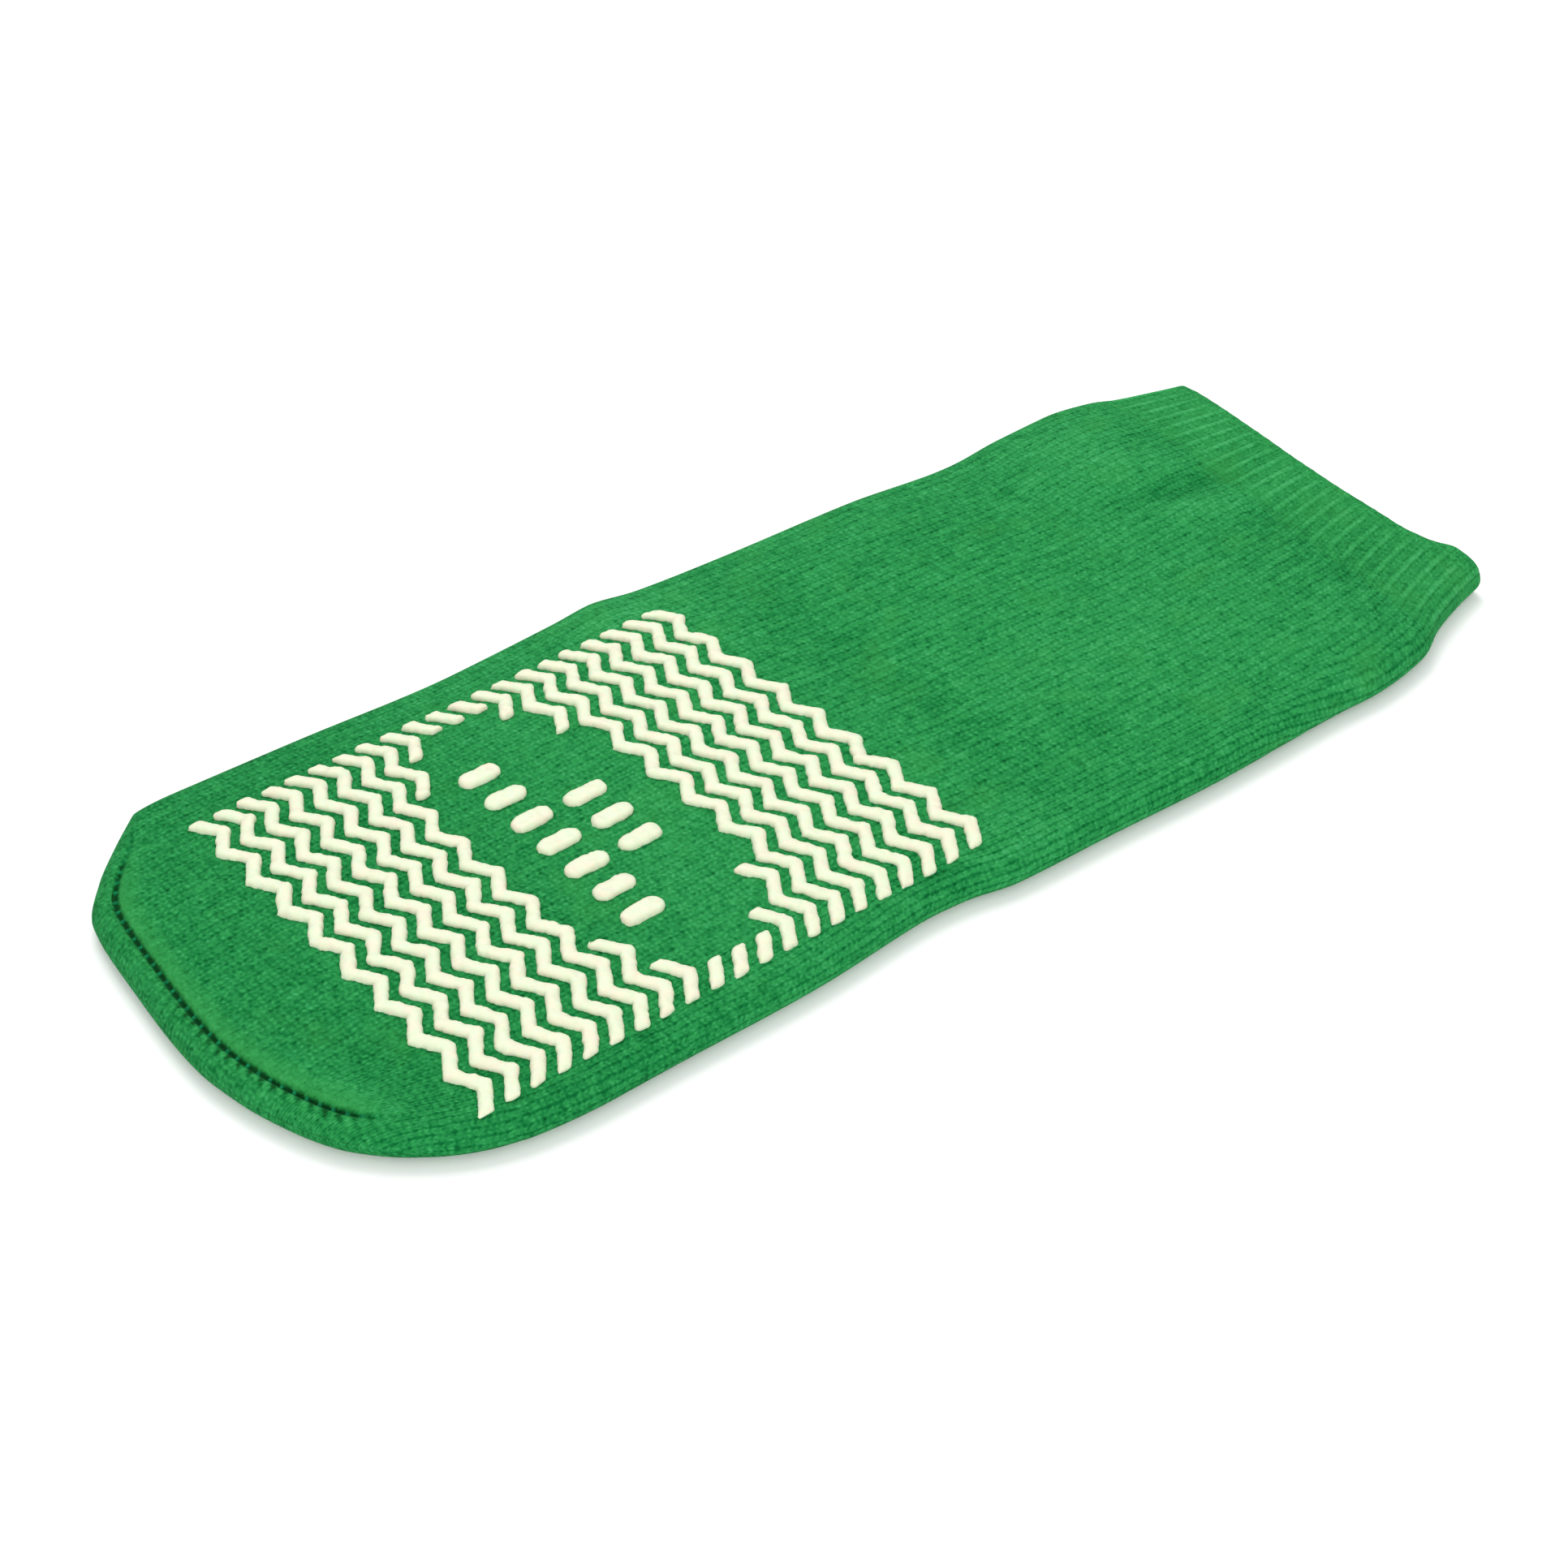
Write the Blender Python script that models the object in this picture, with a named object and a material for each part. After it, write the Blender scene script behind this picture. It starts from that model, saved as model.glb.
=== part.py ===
# Slipper sock, lying flat and slack with its grip side up.
#
# One knitted tube makes foot and leg. Its toe is closed by a linked seam,
# a ribbed cuff finishes the leg, and raised rubber print covers the sole.
# The toe points to -Y, the cuff to +Y, and the table is the plane z = 0.
# All lengths are metres.

import math

import bmesh
import bpy
from mathutils import Vector

# Knitted tube
SOCK_LENGTH = 0.2607
FOOT_WIDTH = 0.106
WALL = 0.0017
FOLD_HEIGHT = 0.0064
SWELL = 0.0026
SWELL_RUN = 0.034
TOE_DEPTH = 0.033

# Cuff
CUFF_DEPTH = 0.0175
CUFF_WALL = 0.0017
CUFF_STEP = 0.00025
BASE_TILT = 0.0095
RIM_DIP = 0.0072
RIB_DEPTH = 0.0004
RIB_WIDTH = 0.0037

# Toe seam
SEAM_INSET = 0.0042
SEAM_WIDTH = 0.0026
SEAM_DEPTH = 0.0010
SEAM_CORD = 0.0008

# Printed grip
GRIP_LENGTH = 0.104
GRIP_MARGIN = 0.0095
GRIP_START = 0.0268
GRIP_ASIDE = 0.0026
GRIP_LEAN = math.radians(-2.1)
TOE_ROW_TILT = math.radians(-1.9)
HEEL_ROW_TILT = math.radians(0.8)
GRIP_ROWS = 21
GRIP_STROKE = 0.0022
GRIP_HEIGHT = 0.0009
GRIP_DRAFT = 0.00025
ZIGZAG_WIDTH = 0.0097
ZIGZAG_RISE = 0.0031
WINDOW_ROWS = 7
WINDOW_SIDE = 0.0062

# Pads in the window
PAD_WIDTH = 0.0036
PAD_LENGTH = 0.0082
PAD_PITCH = 0.0076
PAD_ROW_PITCH = 0.0112
PAD_ROWS = (7, 3)

# Clear gap between neighbouring pieces
PIECE_GAP = 0.0003

# Fineness of the meshes
FOLD_TURNS = (0.0, 30.0, 60.0, 90.0)
TUBE_COLUMNS = 15
TUBE_ROWS = 29
ROW_SPREAD = 1.15
CUFF_ROWS = 3
CORD_SIDES = 6
PAD_END_SIDES = 6
OUTLINE_STEPS = 60


class Table:
    """Shares in named columns, read smoothly along the first column."""

    def __init__(self, columns, rows):
        self.columns = columns
        self.rows = rows

    def column(self, name):
        return [row[self.columns.index(name)] for row in self.rows]

    def read(self, name, at):
        keys = self.column(self.columns[0])
        values = self.column(name)
        if at <= keys[0]:
            return values[0]
        if at >= keys[-1]:
            return values[-1]
        low = max(i for i, key in enumerate(keys[:-1]) if key <= at)
        width = keys[low + 1] - keys[low]
        t = (at - keys[low]) / width
        start = slope_at(keys, values, low) * width
        end = slope_at(keys, values, low + 1) * width
        return (values[low] * (1 + 2 * t) * (1 - t) ** 2 + start * t * (1 - t) ** 2
                + values[low + 1] * t ** 2 * (3 - 2 * t) + end * t ** 2 * (t - 1))


def slope_at(keys, values, i):
    """Slope that keeps a curve through the values free of overshoot."""
    steps = [(values[k + 1] - values[k]) / (keys[k + 1] - keys[k]) for k in range(len(keys) - 1)]
    if i == 0:
        return steps[0]
    if i == len(steps):
        return steps[-1]
    before, after = steps[i - 1], steps[i]
    if before * after <= 0.0:
        return 0.0
    return 2.0 * before * after / (before + after)


# Side folds and swell along the sock. along: share of SOCK_LENGTH from the toe tip.
# far, near: folds in halves of FOOT_WIDTH. swell: share of SWELL.
SECTIONS = Table(("along", "far", "near", "swell"), (
    (0.099, -1.106, 0.906, 0.80),
    (0.221, -1.062, 0.926, 1.00),
    (0.344, -1.014, 0.952, 1.00),
    (0.430, -1.020, 0.938, 0.92),
    (0.464, -1.030, 0.954, 0.90),
    (0.503, -0.986, 1.000, 0.92),
    (0.577, -0.946, 1.026, 0.96),
    (0.692, -0.902, 1.070, 1.00),
    (0.789, -0.836, 1.082, 1.00),
    (0.835, -0.848, 1.098, 1.00),
    (0.884, -0.846, 1.076, 1.00),
    (0.925, -0.810, 0.996, 0.96),
    (0.957, -0.740, 0.950, 1.02),
    (1.000, -0.660, 0.905, 1.12),
))

# Toe fold. across: -1 at the far fold, 1 at the near one.
# back: how far the fold lies behind the toe tip, as a share of TOE_DEPTH.
TOE_FOLD = Table(("across", "back"), (
    (-1.00, 0.74),
    (-0.90, 0.54),
    (-0.78, 0.33),
    (-0.64, 0.16),
    (-0.38, 0.08),
    (0.12, 0.00),
    (0.30, 0.03),
    (0.48, 0.10),
    (0.64, 0.20),
    (0.77, 0.35),
    (0.89, 0.58),
    (1.00, 0.97),
))

# Cuff lines. base: share of BASE_TILT. rim: share of RIM_DIP.
CUFF_LINES = Table(("across", "base", "rim"), (
    (-1.00, 1.00, 1.00),
    (-0.90, 0.96, 0.96),
    (-0.67, 0.86, 0.72),
    (-0.43, 0.73, 0.47),
    (0.00, 0.43, 0.16),
    (0.30, 0.22, 0.04),
    (0.55, 0.12, 0.03),
    (0.72, 0.07, 0.21),
    (0.85, 0.03, 0.58),
    (1.00, 0.00, 0.52),
))

# Turned rim of the cuff. depth: share of CUFF_WALL inwards. back: share of CUFF_WALL.
RIM_TURN = (
    (0.00, 0.55),
    (0.18, 0.16),
    (0.50, 0.00),
    (0.82, 0.16),
    (1.00, 0.55),
)

# Where the toe seam sinks in. across: place along the toe fold. sink: share of SEAM_DEPTH.
SEAM_REACH = Table(("across", "sink"), (
    (-0.90, 0.0),
    (-0.78, 1.0),
    (0.60, 1.0),
    (0.80, 0.0),
))

# Soft creases of the grip side. across and along: place, as in SECTIONS.
# length and width: shares of FOOT_WIDTH. rise: share of WALL, below zero for a trough.
CREASE_COLUMNS = ("across", "along", "turn", "length", "width", "rise")
CREASES = (
    (-0.13, 0.888, 6.0, 0.130, 0.050, -0.50),
    (0.01, 0.884, 6.0, 0.130, 0.050, 0.30),
    (0.30, 0.880, -8.0, 0.120, 0.060, -0.20),
    (0.86, 0.452, 70.0, 0.090, 0.050, -0.30),
    (0.90, 0.520, 20.0, 0.120, 0.060, 0.25),
    (-0.84, 0.470, 10.0, 0.120, 0.050, 0.25),
    (0.00, 0.560, 88.0, 0.480, 0.060, -0.18),
    (0.45, 0.720, 10.0, 0.260, 0.120, 0.18),
    (-0.45, 0.700, -6.0, 0.240, 0.110, -0.16),
)

# Materials: linear colour, roughness
MATERIALS = {
    "green_knit": ((0.033, 0.300, 0.085, 1.0), 0.95),
    "seam_thread": ((0.012, 0.150, 0.040, 1.0), 0.85),
    "cream_rubber": ((0.900, 0.880, 0.660, 1.0), 0.55),
}

TOE_TIP = -SOCK_LENGTH / 2
RIM_TOP = SOCK_LENGTH / 2
FOLD_MIDDLE = FOLD_HEIGHT / 2
TOE_BLEND = 2.6 * TOE_DEPTH
FRONT_BAND = 2 * SEAM_INSET
LARGEST_SLANT = 1.8
CORD_SHOWS = 0.4
WINDOW_EASE = 0.2


def mix(start, end, t):
    return start + (end - start) * t


def ease(t):
    t = min(max(t, 0.0), 1.0)
    return t * t * (3 - 2 * t)


def section_read(name, y):
    return SECTIONS.read(name, (y - TOE_TIP) / SOCK_LENGTH)


def fold_centre():
    """Middle of the widest places, so that the sock is centred on x = 0."""
    return FOOT_WIDTH / 2 * (min(SECTIONS.column("far")) + max(SECTIONS.column("near"))) / 2


CENTRE = fold_centre()


def far_fold(y):
    return FOOT_WIDTH / 2 * section_read("far", y) - CENTRE


def near_fold(y):
    return FOOT_WIDTH / 2 * section_read("near", y) - CENTRE


def toe_slant(across):
    """Length of the toe fold for each unit across it, at most LARGEST_SLANT."""
    step = 0.02
    rise = TOE_FOLD.read("back", across + step) - TOE_FOLD.read("back", across - step)
    slope = TOE_DEPTH * rise / (2 * step) / (FOOT_WIDTH / 2)
    return min(math.hypot(1.0, slope), LARGEST_SLANT)


def base_line(across):
    return RIM_TOP - CUFF_DEPTH - BASE_TILT * (1 - CUFF_LINES.read("base", across))


def rim_line(across):
    return RIM_TOP - RIM_DIP * (1 - CUFF_LINES.read("rim", across))


TUBE_END = SOCK_LENGTH - CUFF_DEPTH - BASE_TILT - PIECE_GAP / 2
ANKLE = 0.45 * SOCK_LENGTH


def row_y(across, station, depth):
    """Where a knitted row lies. station: distance from the toe fold. depth: under the skin."""
    toe = 1 - ease(station / TOE_BLEND)
    leg = ease((station - ANKLE) / (TUBE_END - ANKLE))
    slant = toe_slant(across)
    inwards = (slant - 1) * min(station, FRONT_BAND) + depth * slant
    round_toe = TOE_DEPTH * TOE_FOLD.read("back", across)
    tilt = BASE_TILT * CUFF_LINES.read("base", across)
    return TOE_TIP + station + toe * (inwards + round_toe) + leg * tilt


def cuff_y(across, share, back):
    """Where a row of the cuff lies, from its base, 0, to its rim, 1."""
    return mix(base_line(across) + PIECE_GAP / 2, rim_line(across) - back, share)


def columns_between(left, right, radius, middle):
    """Places across a flattened tube, close together round its two folds."""
    fold = [radius * (1 - math.cos(math.radians(turn))) for turn in FOLD_TURNS]
    inner = [mix(left + radius, right - radius, (k + 1) / (middle + 1)) for k in range(middle)]
    return [left + step for step in fold] + inner + [right - step for step in reversed(fold)]


def plan_row(line, depth, middle):
    """One row of (x, y) places from the far fold to the near one, at a depth under the skin."""
    left = far_fold(line(-1.0)) + depth
    right = near_fold(line(1.0)) - depth
    places = []
    for x in columns_between(left, right, FOLD_MIDDLE - depth, middle):
        across = 2 * (x - left) / (right - left) - 1
        places.append((x, line(across)))
    return places


def toe_fold_line():
    """The toe fold as a fine line of plan places."""
    line = []
    left = far_fold(row_y(-1.0, 0.0, 0.0))
    right = near_fold(row_y(1.0, 0.0, 0.0))
    for step in range(OUTLINE_STEPS + 1):
        across = 2 * step / OUTLINE_STEPS - 1
        line.append((mix(left, right, step / OUTLINE_STEPS), row_y(across, 0.0, 0.0)))
    return line


def whole_outline():
    """Far fold, toe fold and near fold as one fine line, open at the cuff."""
    toe = toe_fold_line()
    beyond = RIM_TOP + FOLD_HEIGHT
    far = [mix(beyond, toe[0][1], k / OUTLINE_STEPS) for k in range(OUTLINE_STEPS)]
    near = [mix(toe[-1][1], beyond, (k + 1) / OUTLINE_STEPS) for k in range(OUTLINE_STEPS)]
    return [(far_fold(y), y) for y in far] + toe + [(near_fold(y), y) for y in near]


def seam_line():
    """The middle of the seam's channel, as (x, y, across) places."""
    places = []
    for x, y in plan_row(lambda across: row_y(across, SEAM_INSET, 0.0), 0.0, TUBE_COLUMNS):
        places.append((x, y))
    left, right = places[0][0], places[-1][0]
    return [(x, y, 2 * (x - left) / (right - left) - 1) for x, y in places]


def nearest(line, x, y):
    """Distance from a place to a line of places, and how far along the line that is."""
    best = (math.inf, 0.0)
    for k in range(len(line) - 1):
        ax, ay = line[k][0], line[k][1]
        bx, by = line[k + 1][0] - ax, line[k + 1][1] - ay
        t = ((x - ax) * bx + (y - ay) * by) / (bx * bx + by * by)
        t = min(max(t, 0.0), 1.0)
        gap = math.hypot(x - ax - t * bx, y - ay - t * by)
        if gap < best[0]:
            best = (gap, k + t)
    return best


OUTLINE = whole_outline()
SEAM_LINE = seam_line()


def seam_sink(x, y):
    """Depth of the seam's channel at a place."""
    gap, along = nearest(SEAM_LINE, x, y)
    if gap >= SEAM_WIDTH / 2:
        return 0.0
    k = min(int(along), len(SEAM_LINE) - 2)
    across = mix(SEAM_LINE[k][2], SEAM_LINE[k + 1][2], along - k)
    shape = 0.5 + 0.5 * math.cos(math.pi * gap / (SEAM_WIDTH / 2))
    return SEAM_DEPTH * SEAM_REACH.read("sink", across) * shape


def crease_rise(x, y):
    """Sum of the soft troughs and ridges at a place."""
    total = 0.0
    for row in CREASES:
        crease = dict(zip(CREASE_COLUMNS, row))
        dx = x + CENTRE - crease["across"] * FOOT_WIDTH / 2
        dy = y - TOE_TIP - crease["along"] * SOCK_LENGTH
        turn = math.radians(crease["turn"])
        along = dx * math.sin(turn) + dy * math.cos(turn)
        aside = dx * math.cos(turn) - dy * math.sin(turn)
        reach = (along / (crease["length"] * FOOT_WIDTH)) ** 2 + (aside / (crease["width"] * FOOT_WIDTH)) ** 2
        total += crease["rise"] * WALL * math.exp(-reach)
    return total


def fold_round(distance, radius):
    """Height of a round fold, as a share of its radius, at a distance in from its edge."""
    if distance >= radius:
        return 1.0
    return math.sqrt(max(0.0, 1 - (1 - max(distance, 0.0) / radius) ** 2))


def grip_side(x, y, depth):
    """Height of the upper face at a depth under the skin."""
    distance = nearest(OUTLINE, x, y)[0]
    radius = FOLD_MIDDLE - depth
    inwards = min(distance / SWELL_RUN, 1.0)
    swell = SWELL * section_read("swell", y) * (1 - (1 - inwards) ** 2)
    creases = crease_rise(x, y) * ease(distance / FOLD_HEIGHT)
    sink = seam_sink(x, y) if depth == 0.0 else 0.0
    return FOLD_MIDDLE + radius * fold_round(distance - depth, radius) + swell + creases - sink


def table_side(x, y, depth):
    """Height of the under face at a depth under the skin."""
    distance = nearest(OUTLINE, x, y)[0]
    radius = FOLD_MIDDLE - depth
    return FOLD_MIDDLE - radius * fold_round(distance - depth, radius)


def flat_ring(places, depths, toe_fold=False):
    """A ring round the flattened tube: over the grip side, and back under it."""
    last = len(places) - 1
    over = []
    under = []
    for k, (x, y) in enumerate(places):
        if toe_fold or k in (0, last):
            over.append((x, y, FOLD_MIDDLE))
            under.append((x, y, FOLD_MIDDLE))
        else:
            over.append((x, y, grip_side(x, y, depths[k])))
            under.append((x, y, table_side(x, y, depths[k])))
    return over + under[last - 1:0:-1]


def tube_stations():
    """Distances of the knitted rows from the toe fold, close together at fold and seam."""
    lip = SEAM_INSET - SEAM_WIDTH / 2
    fold = [FOLD_MIDDLE * (1 - math.cos(math.radians(turn))) for turn in FOLD_TURNS]
    start = [station for station in fold if station < 0.8 * lip]
    seam = [lip, SEAM_INSET, SEAM_INSET + SEAM_WIDTH / 2]
    first = FRONT_BAND
    rest = [mix(first, TUBE_END, (k / TUBE_ROWS) ** ROW_SPREAD) for k in range(TUBE_ROWS + 1)]
    return start + seam + rest


def tube_ring(station, depth, columns):
    places = plan_row(lambda across: row_y(across, station, depth), depth, columns)
    return flat_ring(places, [depth] * len(places), toe_fold=station == 0.0)


def cuff_columns():
    """Columns of the cuff: an even number to each rib."""
    width = near_fold(rim_line(1.0)) - far_fold(rim_line(-1.0))
    return 2 * round(width / RIB_WIDTH) - 1


def cuff_ring(share, depth, back, ribbed):
    places = plan_row(lambda across: cuff_y(across, share, back), depth, cuff_columns())
    ribs = [RIB_DEPTH * (k % 2) * ribbed for k in range(len(places))]
    return flat_ring(places, [depth + rib for rib in ribs])


def make_material(name):
    colour, roughness = MATERIALS[name]
    material = bpy.data.materials.new(name)
    material.use_nodes = True
    shader = material.node_tree.nodes["Principled BSDF"]
    shader.inputs["Base Color"].default_value = colour
    shader.inputs["Roughness"].default_value = roughness
    shader.inputs["Metallic"].default_value = 0.0
    material.diffuse_color = colour
    return material


def loft(name, rings, material, closed=False, capped=False):
    """A solid through rings of equally many points, with faces from ring to ring.

    closed joins the last ring to the first. capped fills the two end rings.
    Without either, each end ring is a slit whose two sides are merged.
    """
    mesh = bpy.data.meshes.new(name)
    shape = bmesh.new()
    loops = [[shape.verts.new(point) for point in ring] for ring in rings]
    count = len(rings[0])
    pairs = list(zip(loops, loops[1:]))
    if closed:
        pairs.append((loops[-1], loops[0]))
    for one, other in pairs:
        for k in range(count):
            after = (k + 1) % count
            shape.faces.new((one[k], one[after], other[after], other[k]))
    if capped:
        shape.faces.new(reversed(loops[0]))
        shape.faces.new(loops[-1])
    bmesh.ops.remove_doubles(shape, verts=shape.verts, dist=1e-6)
    bmesh.ops.recalc_face_normals(shape, faces=shape.faces)
    shape.to_mesh(mesh)
    shape.free()
    mesh.materials.append(material)
    mesh.shade_smooth()
    mesh.set_sharp_from_angle(angle=math.radians(50))
    piece = bpy.data.objects.new(name, mesh)
    return piece


def make_tube(material):
    """Foot and leg: an outer skin from toe fold to cuff, and an inner one back."""
    stations = tube_stations()
    outer = [tube_ring(station, 0.0, TUBE_COLUMNS) for station in stations]
    inner = [tube_ring(station, WALL, TUBE_COLUMNS) for station in stations]
    return loft("knit_tube", outer + inner[::-1], material)


def make_cuff(material):
    """Ribbed band: up its outer skin, round the turned rim, and down its plain inner skin."""
    skin = CUFF_STEP
    rim = [(skin + depth * CUFF_WALL, back * CUFF_WALL) for depth, back in RIM_TURN]
    first_back = rim[0][1]
    shares = [k / CUFF_ROWS for k in range(CUFF_ROWS)]
    outer = [cuff_ring(share, skin, first_back, 1) for share in shares]
    turn = [cuff_ring(1.0, depth, back, 1 if k == 0 else 0) for k, (depth, back) in enumerate(rim)]
    inner = [cuff_ring(share, skin + CUFF_WALL, first_back, 0) for share in reversed(shares)]
    return loft("rib_cuff", outer + turn + inner, material, closed=True)


def make_seam(material):
    """Linked seam: a cord in its channel, wherever the channel is deep enough."""
    radius = SEAM_CORD / 2
    reach = [place for place in SEAM_LINE if SEAM_REACH.read("sink", place[2]) > CORD_SHOWS]
    path = []
    for x, y, across in reach:
        path.append(Vector((x, y, grip_side(x, y, 0.0) + PIECE_GAP + radius)))
    rings = []
    for k, point in enumerate(path):
        ahead = path[min(k + 1, len(path) - 1)] - path[max(k - 1, 0)]
        side = ahead.cross(Vector((0.0, 0.0, 1.0))).normalized()
        up = side.cross(ahead).normalized()
        turns = [math.tau * (j + 0.5) / CORD_SIDES for j in range(CORD_SIDES)]
        rings.append([point + radius * (math.cos(turn) * side + math.sin(turn) * up) for turn in turns])
    return loft("toe_seam", rings, material, capped=True)


def grip_place(across, along):
    """Plan place of a point of the print, from its own middle."""
    middle_y = TOE_TIP + GRIP_START + GRIP_LENGTH / 2
    middle_x = (far_fold(middle_y) + near_fold(middle_y)) / 2 + GRIP_ASIDE
    tilt = mix(TOE_ROW_TILT, HEEL_ROW_TILT, along / GRIP_LENGTH + 0.5)
    x = middle_x + across * math.cos(tilt) - along * math.sin(GRIP_LEAN)
    y = middle_y + across * math.sin(tilt) + along * math.cos(GRIP_LEAN)
    return x, y


def on_skin(across, along, height):
    """A point of the print at a height above the knitted skin."""
    x, y = grip_place(across, along)
    return x, y, grip_side(x, y, 0.0) + PIECE_GAP + height


def row_pitch():
    """Distance from one row of the print to the next."""
    return (GRIP_LENGTH - ZIGZAG_RISE - GRIP_STROKE) / (GRIP_ROWS - 1)


def zigzag_places(row_along):
    """Corners of one row of the print, from far to near."""
    width = FOOT_WIDTH - 2 * GRIP_MARGIN
    halves = round(width / (ZIGZAG_WIDTH / 2))
    places = []
    for k in range(halves + 1):
        across = width * (k / halves - 0.5)
        side = 1 if k % 2 else -1
        places.append((across, row_along + side * ZIGZAG_RISE / 2))
    return places


def window_reach(row_from_middle):
    """Half the window's width at a row, or zero where the row passes it by."""
    share = row_from_middle / (WINDOW_ROWS / 2 + WINDOW_EASE)
    if abs(share) >= 1.0:
        return 0.0
    return (FOOT_WIDTH / 2 - GRIP_MARGIN - WINDOW_SIDE) * math.sqrt(1 - share * share)


def make_strip(name, places, material):
    """One raised zigzag strip of rubber through the given corners."""
    half_step = abs(places[1][0] - places[0][0])
    slope = math.hypot(1.0, ZIGZAG_RISE / half_step)
    foot = GRIP_STROKE / 2 * slope
    top = foot - GRIP_DRAFT
    rings = []
    for across, along in places:
        rings.append([
            on_skin(across, along - foot, 0.0),
            on_skin(across, along + foot, 0.0),
            on_skin(across, along + top, GRIP_HEIGHT),
            on_skin(across, along - top, GRIP_HEIGHT),
        ])
    return loft(name, rings, material, capped=True)


def make_grip(material):
    """All rows of the print, each broken where it meets the window."""
    strips = []
    for row in range(GRIP_ROWS):
        from_middle = row - (GRIP_ROWS - 1) / 2
        places = zigzag_places(from_middle * row_pitch())
        reach = window_reach(from_middle)
        name = f"grip_row_{row + 1:02d}"
        if reach == 0.0:
            strips.append(make_strip(name, places, material))
            continue
        far = [place for place in places if place[0] <= -reach]
        near = [place for place in places if place[0] >= reach]
        for side, corners in (("far", far), ("near", near)):
            if len(corners) > 1:
                strips.append(make_strip(f"{name}_{side}", corners, material))
    return strips


def make_pad(name, middle_across, middle_along, material):
    """A round-ended pad of rubber."""
    radius = PAD_WIDTH / 2
    straight = PAD_LENGTH / 2 - radius
    foot = []
    top = []
    for end in (1, -1):
        for k in range(PAD_END_SIDES + 1):
            turn = math.pi * k / PAD_END_SIDES + (0.0 if end > 0 else math.pi)
            across = middle_across + radius * math.cos(turn)
            along = middle_along + end * straight + radius * math.sin(turn)
            inwards = 1 - GRIP_DRAFT / radius
            top_across = middle_across + inwards * radius * math.cos(turn)
            top_along = middle_along + end * straight + inwards * radius * math.sin(turn)
            foot.append(on_skin(across, along, 0.0))
            top.append(on_skin(top_across, top_along, GRIP_HEIGHT))
    return loft(name, [foot, top], material, capped=True)


def make_pads(material):
    """Rows of pads in the middle of the window."""
    pads = []
    for row, count in enumerate(PAD_ROWS):
        middle_along = PAD_ROW_PITCH * (row - (len(PAD_ROWS) - 1) / 2)
        for k in range(count):
            across = PAD_PITCH * (k - (count - 1) / 2)
            name = f"grip_pad_{row + 1}_{k + 1}"
            pads.append(make_pad(name, across, middle_along, material))
    return pads


def clear_scene():
    for thing in list(bpy.data.objects):
        bpy.data.objects.remove(thing, do_unlink=True)


def build():
    clear_scene()
    parts = bpy.data.collections.new("slipper_sock")
    bpy.context.scene.collection.children.link(parts)
    knit = make_material("green_knit")
    thread = make_material("seam_thread")
    rubber = make_material("cream_rubber")
    pieces = [make_tube(knit), make_cuff(knit), make_seam(thread)]
    pieces += make_grip(rubber) + make_pads(rubber)
    for piece in pieces:
        parts.objects.link(piece)


build()
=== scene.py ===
# %% [markdown]
# # A slipper sock with a printed grip
#
# The sock is one knitted tube, lying flat with its grip side up. This lesson dresses the plain solids of
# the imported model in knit, rib, thread and rubber.

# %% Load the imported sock
import math

import bpy
import numpy as np
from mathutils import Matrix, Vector


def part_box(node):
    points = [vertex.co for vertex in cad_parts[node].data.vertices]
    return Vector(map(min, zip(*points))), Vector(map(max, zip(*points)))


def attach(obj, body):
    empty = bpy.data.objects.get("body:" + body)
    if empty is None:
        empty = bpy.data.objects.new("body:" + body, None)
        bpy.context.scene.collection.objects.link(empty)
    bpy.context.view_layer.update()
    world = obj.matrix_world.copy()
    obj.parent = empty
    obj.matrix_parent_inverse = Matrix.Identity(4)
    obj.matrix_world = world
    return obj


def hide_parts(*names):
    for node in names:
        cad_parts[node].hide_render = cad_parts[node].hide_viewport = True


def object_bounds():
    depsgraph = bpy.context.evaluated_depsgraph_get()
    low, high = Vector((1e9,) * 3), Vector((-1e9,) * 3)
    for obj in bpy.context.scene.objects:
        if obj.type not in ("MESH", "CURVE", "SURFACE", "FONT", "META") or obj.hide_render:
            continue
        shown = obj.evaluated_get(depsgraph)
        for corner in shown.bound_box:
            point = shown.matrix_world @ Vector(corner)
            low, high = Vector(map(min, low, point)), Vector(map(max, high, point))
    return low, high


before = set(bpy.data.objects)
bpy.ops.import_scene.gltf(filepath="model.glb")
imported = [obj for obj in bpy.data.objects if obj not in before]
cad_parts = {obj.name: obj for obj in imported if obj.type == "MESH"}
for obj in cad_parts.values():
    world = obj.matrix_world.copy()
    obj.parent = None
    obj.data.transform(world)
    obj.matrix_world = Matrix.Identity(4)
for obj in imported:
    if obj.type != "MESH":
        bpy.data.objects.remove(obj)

cad_low, cad_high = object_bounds()
tube_low, tube_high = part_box("knit_tube")
SOCK_LENGTH = cad_high.y - cad_low.y
print("sock", [round(1000 * side, 1) for side in cad_high - cad_low], "mm, nodes", len(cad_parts))

# %% [markdown]
# The camera comes first, because every later choice is judged through it. It looks down at the sock from
# the near side of the toe. Its lens, height and bearing were worked out from the two long edges of the
# sock and the square corners of the print, so the sock shows the same outline as in the picture.

# %% Camera
CAMERA_AZIMUTH = math.radians(49.2)
CAMERA_ELEVATION = math.radians(39.4)
CAMERA_DISTANCE = 0.5572
CAMERA_TARGET = Vector((0.0120, -0.0168, 0.0073))
CAMERA_LENS = 73.7
SENSOR = 36.0

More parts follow.
